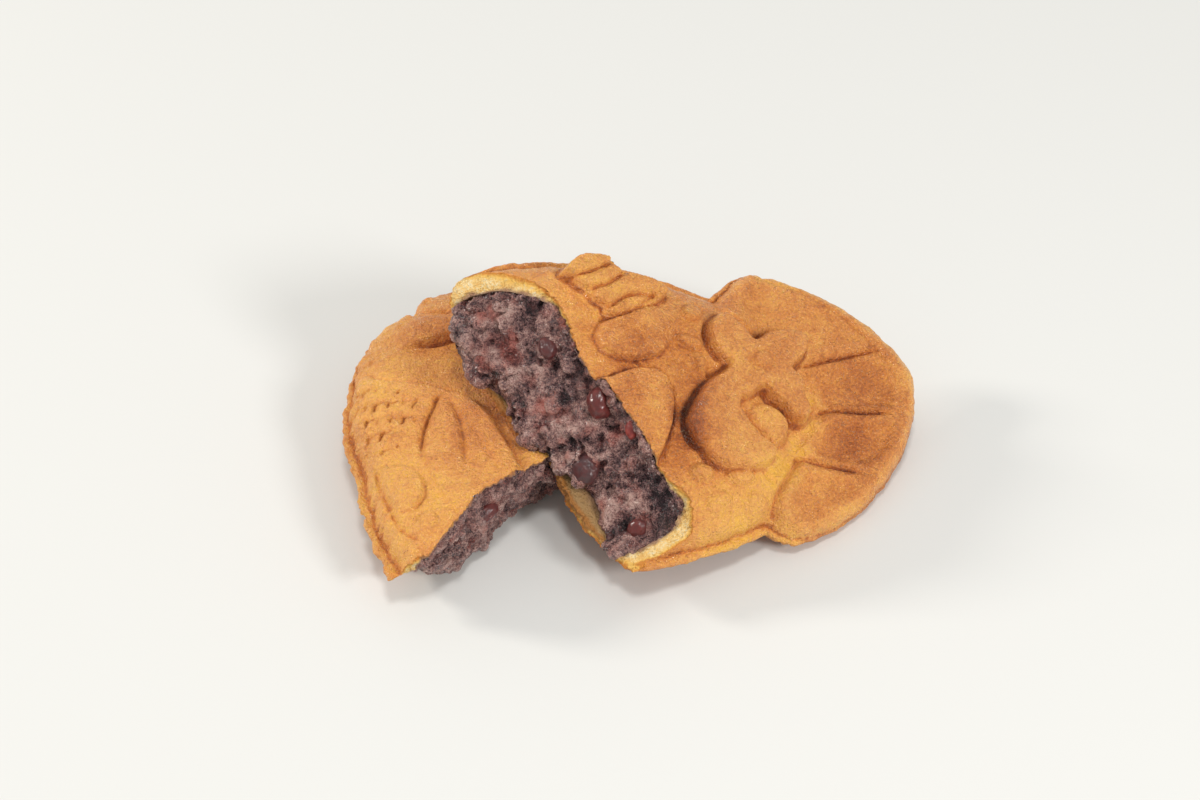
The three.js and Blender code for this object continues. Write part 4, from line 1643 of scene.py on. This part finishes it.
class Wiring:
    """One node tree, with short ways to add nodes to it and link them."""

    def __init__(self, tree: bpy.types.NodeTree) -> None:
        """Start on a tree."""
        self.tree = tree

    def node(self, kind: str, inputs: dict | None = None, **settings: object) -> bpy.types.Node:
        """Add a node.

        Args:
            kind: The node's type.
            inputs: For each input, by name or number, a value or an output to link.
            **settings: Properties of the node itself.

        Returns:
            The node.
        """
        made = self.tree.nodes.new(kind)
        for name, value in settings.items():
            setattr(made, name, value)
        for key, value in (inputs or {}).items():
            if isinstance(value, Socket):
                self.tree.links.new(value, made.inputs[key])
            else:
                made.inputs[key].default_value = value
        return made

    def link(self, value: Socket, socket: Socket) -> None:
        """Link an output to an input."""
        self.tree.links.new(value, socket)

    def math(self, operation: str, *values: object) -> Socket:
        """Add a sum and give its result."""
        return self.node("ShaderNodeMath", dict(enumerate(values)), operation=operation).outputs[0]

    def times(self, value: Socket, factor: object) -> Socket:
        """Multiply a value."""
        return self.math("MULTIPLY", value, factor)

    def add(self, value: object, pattern: Socket, amount: float) -> Socket:
        """Add a share of a pattern to a value."""
        return self.math("MULTIPLY_ADD", pattern, amount, value)

    def lean(self, value: object, pattern: Socket, amount: float) -> Socket:
        """Push a value up and down by a pattern that goes from 0 to 1."""
        return self.add(value, self.math("SUBTRACT", pattern, 0.5), amount)

    def rest(self, value: Socket) -> Socket:
        """Give what is left of 1."""
        return self.math("SUBTRACT", 1.0, value)

    def ramp(self, value: Socket, stops: tuple[tuple[float, Colour], ...]) -> Socket:
        """Add a colour ramp and give its colour."""
        made = self.node("ShaderNodeValToRGB", {0: value})
        elements = made.color_ramp.elements
        while len(elements) < len(stops):
            elements.new(0.5)
        for element, (position, colour) in zip(elements, stops):
            element.position = position
            element.color = colour
        return made.outputs[0]

    def mix(self, share: object, first: object, second: object, blend: str = "MIX") -> Socket:
        """Mix two colours and give the result."""
        inputs = {0: share, 6: first, 7: second}
        return self.node("ShaderNodeMix", inputs, data_type="RGBA", blend_type=blend).outputs[2]

    def span(self, value: Socket, low: float, high: float, out: Spot = (0.0, 1.0)) -> Socket:
        """Map a range smoothly onto another."""
        inputs = {0: value, 1: low, 2: high, 3: out[0], 4: out[1]}
        return self.node("ShaderNodeMapRange", inputs, interpolation_type="SMOOTHSTEP").outputs[0]

    def attribute(self, name: str) -> Socket:
        """Read a vertex attribute as a number."""
        return self.node("ShaderNodeAttribute", attribute_name=name).outputs["Fac"]

    def use(self, group: bpy.types.NodeTree, **inputs: object) -> Socket:
        """Place a node group and give its first output."""
        return self.node("ShaderNodeGroup", inputs, node_tree=group).outputs[0]

    def bump(self, height: Socket, distance: float, strength: float = 1.0) -> Socket:
        """Turn a height into a normal, with the distance in millimetres."""
        inputs = {"Strength": strength, "Distance": distance * MM, "Height": height}
        return self.node("ShaderNodeBump", inputs).outputs[0]


class Shelf:
    """The node groups that the finishes share, each made once."""

    def __init__(self) -> None:
        """Make the groups."""
        self.fine_grain = self.build_grain()
        self.small_pores = self.build_pores()
        self.browning = self.build_browning()

    @staticmethod
    def group(name: str, inputs: dict[str, float], output: str, kind: str = "NodeSocketFloat") -> tuple:
        """Start a node group with named sockets.

        Args:
            name: The group's name.
            inputs: For each input, its name and its value.
            output: The output's name.
            kind: The output's socket type.

        Returns:
            The group's wiring, the outputs of its input node and the socket of its result.
        """
        tree = bpy.data.node_groups.new(name, "ShaderNodeTree")
        for label, value in inputs.items():
            socket = tree.interface.new_socket(name=label, in_out="INPUT", socket_type="NodeSocketFloat")
            socket.default_value = value
        tree.interface.new_socket(name=output, in_out="OUTPUT", socket_type=kind)
        given = tree.nodes.new("NodeGroupInput").outputs
        return Wiring(tree), given, tree.nodes.new("NodeGroupOutput").inputs[0]

    def build_grain(self) -> bpy.types.NodeTree:
        """Make a group that gives fine unevenness of a size in millimetres."""
        wiring, given, out = self.group("fine_grain", {"Size": 1.0, "Detail": 3.0}, "Grain")
        place = wiring.node("ShaderNodeTexCoord").outputs["Object"]
        scale = wiring.math("DIVIDE", 1.0 / MM, given["Size"])
        inputs = {"Vector": place, "Scale": scale, "Detail": given["Detail"], "Roughness": 0.6}
        wiring.link(wiring.node("ShaderNodeTexNoise", inputs).outputs["Fac"], out)
        return wiring.tree

    def build_pores(self) -> bpy.types.NodeTree:
        """Make a group that scatters small round pores."""
        wiring, given, out = self.group("small_pores", {"Size": 0.8, "Share": 0.3}, "Pores")
        place = wiring.node("ShaderNodeTexCoord").outputs["Object"]
        scale = wiring.math("DIVIDE", 1.0 / MM, given["Size"])
        cells = wiring.node("ShaderNodeTexVoronoi", {"Vector": place, "Scale": scale, "Randomness": 1.0})
        patch_scale = wiring.times(scale, 0.37)
        patch = wiring.node("ShaderNodeTexNoise", {"Vector": place, "Scale": patch_scale, "Detail": 2.0})
        crowding = wiring.span(patch.outputs["Fac"], 0.35, 0.7, (0.3, 1.3))
        reach = wiring.times(given["Share"], crowding)
        inside = wiring.math("SUBTRACT", reach, cells.outputs["Distance"])
        wiring.link(wiring.span(inside, 0.0, 0.12), out)
        return wiring.tree

    def build_browning(self) -> bpy.types.NodeTree:
        """Make a group that turns how brown batter is baked, with any painted shade added to it, into its
        colour.
        """
        wiring, given, out = self.group("browning", {"Bake": 0.5}, "Color", "NodeSocketColor")
        wiring.link(wiring.ramp(given["Bake"], BAKED_BATTER), out)
        return wiring.tree


@dataclass(frozen=True)
class Finish:
    """What every finish has: a name, its gloss and the height of its bump in millimetres."""

    name: str
    specular: float
    bump: float

    def start(self) -> tuple[bpy.types.Material, Wiring, dict[str, Socket]]:
        """Start the material and give it, its wiring and its shader's sockets by name."""
        material = bpy.data.materials.new(self.name)
        material.use_nodes = True
        shader = material.node_tree.nodes["Principled BSDF"]
        shader.inputs["Specular IOR Level"].default_value = self.specular
        return material, Wiring(material.node_tree), shader.inputs


@dataclass(frozen=True)
class CrustFinish(Finish):
    """The browned crust: its skin, its golden torn edge, its pale crumb and the hollow's wall."""

    name: str = "browned_crust"
    specular: float = 0.6
    bump: float = 0.95
    roughness: float = 0.3
    coarse_size: float = 2.4
    grain_size: float = 0.7
    dust_size: float = 0.36
    pore_size: float = 0.8
    bubble_size: float = 1.0
    # painted highlight: the pale colour of the painted glint specks on the skin
    painted_glint: Colour = linear(255, 206, 150)
    golden: Colour = linear(222, 140, 48)
    yellow: Colour = linear(252, 198, 94)
    crumb_dark: Colour = linear(234, 172, 84)
    crumb_mid: Colour = linear(255, 212, 130)
    crumb_light: Colour = linear(255, 238, 198)
    stained: Colour = linear(152, 112, 98)
    wall: Colour = linear(172, 134, 86)
    # painted shade: the wall's colour deep inside the hollow
    wall_deep_shade: Colour = linear(138, 98, 74)
    wall_rim: Colour = linear(176, 112, 46)

    def material(self, shelf: Shelf) -> bpy.types.Material:
        """Make the material."""
        material, wiring, shader = self.start()
        depth = wiring.attribute("depth")
        coarse = wiring.use(shelf.fine_grain, Size=self.coarse_size, Detail=4.0)
        grain = wiring.use(shelf.fine_grain, Size=self.grain_size, Detail=3.0)
        dust = wiring.use(shelf.fine_grain, Size=self.dust_size, Detail=2.0)
        pores = wiring.use(shelf.small_pores, Size=self.pore_size, Share=0.16)
        bubbles = wiring.use(shelf.small_pores, Size=self.bubble_size, Share=0.3)
        skin = self.skin(wiring, shelf, coarse, grain, dust, pores)
        inner = self.inner(wiring, depth, coarse, grain, dust, bubbles)
        is_inside = wiring.span(wiring.lean(depth, dust, 0.15), 0.08, 0.32)
        wiring.link(wiring.mix(is_inside, skin, inner), shader["Base Color"])

        rough = wiring.lean(wiring.lean(self.roughness, coarse, 0.9), dust, 1.1)
        wiring.link(wiring.add(rough, is_inside, 0.3), shader["Roughness"])
        height = wiring.add(wiring.add(grain, dust, 0.6), coarse, 1.0)
        height = wiring.add(height, pores, -0.6)
        height = wiring.add(height, wiring.times(bubbles, is_inside), -0.4)
        wiring.link(wiring.bump(height, self.bump), shader["Normal"])
        return material

    def skin(
        self, wiring: Wiring, shelf: Shelf, coarse: Socket, grain: Socket, dust: Socket, pores: Socket
    ) -> Socket:
        """Give the baked skin's colour: mottled, darker in pores, with painted shade in hollows and painted
        glints as pale specks.
        """
        brown = wiring.lean(wiring.attribute("bake_and_shade"), coarse, 0.35)
        brown = wiring.lean(brown, grain, 0.7)
        brown = wiring.lean(brown, dust, 0.55)
        brown = wiring.add(brown, pores, 0.2)
        # Painted shade: the skin turns browner where it lies lower than the surface round it, in creases and
        # hollows.
        brown = wiring.add(brown, wiring.span(wiring.attribute("hollow"), 0.05, 0.6), 0.24)
        skin = wiring.use(shelf.browning, Bake=brown)
        # Painted glints: where the fine grain peaks, the skin is mixed towards a pale cream.
        painted_glint = wiring.span(wiring.add(wiring.times(dust, 0.6), grain, 0.4), 0.54, 0.68)
        return wiring.mix(wiring.times(painted_glint, 0.45), skin, self.painted_glint)

    def inner(
        self, wiring: Wiring, depth: Socket, coarse: Socket, grain: Socket, dust: Socket, bubbles: Socket
    ) -> Socket:
        """Give the torn crust's colour: golden rim, pale crumb, paste stains and the hollow's wall, with
        painted shade deeper inside.
        """
        mottle = wiring.math("ADD", wiring.times(coarse, 0.5), wiring.times(dust, 0.5))
        stops = ((0.36, self.crumb_dark), (0.5, self.crumb_mid), (0.64, self.crumb_light))
        crumb = wiring.mix(wiring.times(bubbles, 0.4), wiring.ramp(mottle, stops), self.yellow)
        edge_depth = wiring.lean(wiring.lean(depth, grain, 1.6), coarse, 2.0)
        rind = wiring.mix(wiring.span(edge_depth, 0.4, 1.5), self.golden, self.yellow)
        golden = wiring.mix(wiring.span(edge_depth, 1.1, 2.6), rind, crumb)
        near_paste = wiring.rest(wiring.span(wiring.lean(wiring.attribute("gap"), coarse, 2.4), -0.1, 1.3))
        high = wiring.attribute("stain")
        stain = wiring.times(near_paste, high)
        wall = wiring.times(near_paste, wiring.rest(high))
        behind = wiring.lean(wiring.lean(wiring.attribute("behind"), grain, 1.2), coarse, 2.0)
        # Painted shade: the wall turns darker the further it lies behind the tear, deeper inside the hollow.
        lining = wiring.mix(wiring.span(behind, 2.2, 6.0), self.wall, self.wall_deep_shade)
        lining = wiring.mix(wiring.span(behind, 0.3, 1.7), self.wall_rim, lining)
        inner = wiring.mix(wiring.times(stain, 0.85), golden, self.stained)
        return wiring.mix(wiring.times(wall, 0.95), inner, lining)


@dataclass(frozen=True)
class PasteFinish(Finish):
    """The paste: mauve-grey mash with pinkish and dark clumps, and wet spots."""

    name: str = "bean_paste"
    specular: float = 0.9
    bump: float = 1.3
    clump_size: float = 2.2
    grain_size: float = 0.7
    dust_size: float = 0.34
    fleck_size: float = 1.1
    wet_roughness: float = 0.05
    dry_roughness: float = 0.36
    pink: Colour = linear(234, 150, 138)
    red: Colour = linear(140, 76, 68)
    mash: tuple[tuple[float, Colour], ...] = (
        (0.0, linear(50, 34, 38)),
        (0.2, linear(86, 60, 62)),
        (0.4, linear(124, 90, 90)),
        (0.56, linear(156, 118, 112)),
        (0.74, linear(190, 144, 136)),
        (1.0, linear(226, 186, 174)),
    )

    def material(self, shelf: Shelf) -> bpy.types.Material:
        """Make the material."""
        material, wiring, shader = self.start()
        grain = wiring.use(shelf.fine_grain, Size=self.grain_size, Detail=4.0)
        dust = wiring.use(shelf.fine_grain, Size=self.dust_size, Detail=2.0)
        clump = wiring.use(shelf.fine_grain, Size=self.clump_size, Detail=3.0)
        flecks = wiring.use(shelf.small_pores, Size=self.fleck_size, Share=0.2)
        shade = wiring.math("ADD", wiring.attribute("tone"), 0.5)
        for pattern, amount in ((clump, 0.7), (grain, 1.2), (dust, 1.6)):
            shade = wiring.lean(shade, pattern, amount)
        # Painted shade in crevices and painted light on lumps that stand out.
        shade = wiring.add(shade, wiring.attribute("painted_relief_shading"), -0.22)
        shade = wiring.add(shade, flecks, -0.12)
        mash = wiring.ramp(shade, self.mash)
        red = wiring.span(wiring.lean(wiring.attribute("red"), grain, 0.5), 0.1, 0.9)
        pinkish = wiring.mix(wiring.times(red, 0.75), mash, self.pink, "MULTIPLY")
        wiring.link(wiring.mix(wiring.times(red, 0.3), pinkish, self.red), shader["Base Color"])

        wet = wiring.lean(wiring.lean(wiring.attribute("wet"), grain, 1.2), dust, 1.4)
        rough = wiring.span(wet, -0.6, 0.5, (self.dry_roughness, self.wet_roughness))
        wiring.link(rough, shader["Roughness"])
        height = wiring.add(wiring.times(grain, 1.3), dust, 1.0)
        wiring.link(wiring.bump(height, self.bump), shader["Normal"])
        return material


@dataclass(frozen=True)
class BeanFinish(Finish):
    """The boiled beans: dark red, smooth and wet."""

    name: str = "boiled_bean"
    specular: float = 0.35
    bump: float = 0.2
    bump_strength: float = 0.4
    roughness: float = 0.3
    coat: float = 0.2
    coat_roughness: float = 0.12
    clump_size: float = 1.6
    dust_size: float = 0.35
    skin: tuple[tuple[float, Colour], ...] = (
        (0.0, linear(44, 34, 38)),
        (0.3, linear(74, 54, 56)),
        (0.6, linear(92, 44, 42)),
        (0.85, linear(118, 46, 42)),
        (1.0, linear(154, 66, 58)),
    )

    def material(self, shelf: Shelf) -> bpy.types.Material:
        """Make the material."""
        material, wiring, shader = self.start()
        clump = wiring.use(shelf.fine_grain, Size=self.clump_size, Detail=3.0)
        dust = wiring.use(shelf.fine_grain, Size=self.dust_size, Detail=2.0)
        tone = wiring.lean(wiring.attribute("tone"), clump, 0.45)
        wiring.link(wiring.ramp(tone, self.skin), shader["Base Color"])
        shader["Roughness"].default_value = self.roughness
        shader["Coat Weight"].default_value = self.coat
        shader["Coat Roughness"].default_value = self.coat_roughness
        height = wiring.add(clump, dust, 0.25)
        wiring.link(wiring.bump(height, self.bump, self.bump_strength), shader["Normal"])
        return material


# ---- The studio ----


@dataclass(frozen=True)
class Lamp:
    """A soft light, by where it stands round the piece."""

    name: str
    azimuth: float
    elevation: float
    size: float
    power: float
    colour: tuple[float, float, float]
    distance: float = 1.3

    def build(self) -> None:
        """Hang the softbox and turn it to the piece."""
        turn, lift = math.radians(self.azimuth), math.radians(self.elevation)
        towards = Vector((math.cos(turn) * math.cos(lift), math.sin(turn) * math.cos(lift), math.sin(lift)))
        bpy.ops.object.light_add(type="AREA", location=towards * self.distance)
        light = bpy.context.object
        light.name = self.name
        light.rotation_euler = (-towards).to_track_quat("-Z", "Y").to_euler()
        light.data.shape = "DISK"
        light.data.size = self.size
        light.data.energy = self.power
        light.data.color = self.colour


@dataclass(frozen=True)
class Studio:
    """A plain pale floor, soft lights and the camera."""

    view_elevation: float = 45.0
    view_distance: float = 0.69106
    view_target: tuple[float, float, float] = (-0.0076, 0.0227, 0.0)
    lens: float = 85.0
    sensor: float = 36.0
    clip: Spot = (0.01, 20.0)
    floor_size: float = 6.0
    floor_colour: Colour = (0.755, 0.76, 0.745, 1.0)
    floor_roughness: float = 0.9
    floor_specular: float = 0.1
    sky_colour: Colour = (1.0, 0.99, 0.97, 1.0)
    sky_strength: float = 0.485
    lamps: tuple[Lamp, ...] = (
        Lamp("front right softbox", -41, 34, 0.3, 7.4, (1.0, 0.985, 0.96)),
        Lamp("back left softbox", 167, 26, 0.26, 8.1, (1.0, 0.955, 0.88)),
        Lamp("overhead softbox", -90, 75, 0.24, 4.8, (1.0, 0.99, 0.96)),
    )

    def build(self) -> None:
        """Set up the floor, the lights, the sky and the camera."""
        self.build_floor()
        for lamp in self.lamps:
            lamp.build()
        self.build_sky()
        self.build_camera()
        bpy.context.scene.view_settings.view_transform = "Standard"

    def build_floor(self) -> None:
        """Lay a matte pale floor."""
        deselect()
        bpy.ops.mesh.primitive_plane_add(size=self.floor_size)
        floor = bpy.context.object
        floor.name = "floor"
        material, _, shader = Finish("pale_floor", self.floor_specular, 0.0).start()
        shader["Base Color"].default_value = self.floor_colour
        shader["Roughness"].default_value = self.floor_roughness
        floor.data.materials.append(material)

    def build_sky(self) -> None:
        """Fill the shadows with even light."""
        world = bpy.data.worlds.new("studio")
        bpy.context.scene.world = world
        world.use_nodes = True
        background = world.node_tree.nodes["Background"]
        background.inputs["Color"].default_value = self.sky_colour
        background.inputs["Strength"].default_value = self.sky_strength

    def build_camera(self) -> None:
        """Stand the camera in front, looking down at the piece."""
        lift = math.radians(self.view_elevation)
        back = Vector((0, -math.cos(lift), math.sin(lift)))
        bpy.ops.object.camera_add(location=Vector(self.view_target) + back * self.view_distance)
        camera = bpy.context.object
        camera.name = "camera"
        camera.rotation_euler = (-back).to_track_quat("-Z", "Y").to_euler()
        camera.data.lens = self.lens
        camera.data.sensor_width = self.sensor
        camera.data.clip_start, camera.data.clip_end = self.clip
        bpy.context.scene.camera = camera


# ---- Putting it together ----

CRUST_EDGE = 50
ALL_SMOOTH = 180
DENT_ROOM = (1.008, 1.008, 1.02, 1.0)


def finish_piece(piece: Piece, material: bpy.types.Material, angle: float) -> None:
    """Shade, dress and attach a finished piece.

    Args:
        piece: The piece.
        material: Its finish.
        angle: Edges sharper than this, in degrees, stay hard.
    """
    pick(piece)
    bpy.ops.object.shade_smooth_by_angle(angle=math.radians(angle))
    piece.data.materials.clear()
    piece.data.materials.append(material)
    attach(piece, "root")
    log.info("%s: %d faces", piece.name, len(piece.data.polygons))


def head_half() -> TaiyakiHalf:
    """Give the half that lies flat."""
    mould = HeadMould(
        pads=HEAD_FIGURES,
        grooves=HEAD_GROOVES,
        swells=HEAD_SWELLS,
        rough_patches=HEAD_PATCHES,
        flash_wander=Unevenness(0.75, 3.2, 3, 4),
        foot_depth=0.2,
    )
    return TaiyakiHalf(
        Half.HEAD, mould, HEAD_TEAR, HEAD_PLACE, HEAD_SPOTS, HEAD_BEANS,
        bake_base=0.34, bake_and_shade_spots=HEAD_BAKE, torn_rough=0.3, lump_count=60, seed=5,
    )


def tail_half() -> TaiyakiHalf:
    """Give the half that leans on the other one, with the tail fan."""
    mould = Mould(
        pads=FINS_AND_FLOWER,
        grooves=FIN_AND_FLOWER_GROOVES,
        swells=FIN_AND_FLOWER_SWELLS,
        rough_patches=FIN_AND_FLOWER_PATCHES,
        slim_below=1.0,
    )
    return TaiyakiHalf(
        Half.TAIL, mould, TAIL_TEAR, TAIL_PLACE, TAIL_SPOTS, TAIL_BEANS,
        bake_base=0.38, bake_and_shade_spots=TAIL_BAKE_AND_SHADE, torn_rough=0.4, lump_count=110, seed=11,
    )


def main() -> None:
    """Set up the studio, and build both halves and the beans in them."""
    Studio().build()
    shelf = Shelf()
    crust_finish = CrustFinish().material(shelf)
    paste_finish = PasteFinish().material(shelf)
    bean_finish = BeanFinish().material(shelf)

    head, tail = head_half(), tail_half()
    head_crust = head.build_solid()
    dent = copy_of(head_crust, "dent")
    combine(head_crust, head.core("head hollow"), "DIFFERENCE")
    log.info("head crust modelled")
    tail_crust = tail.build_solid()
    combine(tail_crust, tail.core("tail hollow"), "DIFFERENCE")
    log.info("tail crust modelled")
    dent.matrix_world = TAIL_PLACE.inverted() @ HEAD_PLACE @ Matrix.Diagonal(DENT_ROOM)
    apply_place(dent)
    head_paste = head.build_paste()
    tail_paste = tail.build_paste()
    log.info("pastes modelled")
    combine(tail_crust, dent, "DIFFERENCE", keep_tool=True)
    combine(tail_paste, dent, "DIFFERENCE")
    for half, crust, paste in ((head, head_crust, head_paste), (tail, tail_crust, tail_paste)):
        half.dress_crust(crust)
        half.roughen_paste(paste)
        beans = half.build_beans(paste)
        for piece in (crust, paste, beans):
            place(piece, half.place)
        finish_piece(crust, crust_finish, CRUST_EDGE)
        finish_piece(paste, paste_finish, ALL_SMOOTH)
        finish_piece(beans, bean_finish, ALL_SMOOTH)
        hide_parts(f"{half.half.value}_crust")
        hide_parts(f"{half.half.value}_bean_paste")


if __name__ == "__main__":
    logging.basicConfig(level=logging.INFO, format="%(relativeCreated)6d %(message)s", stream=sys.stdout)
    main()
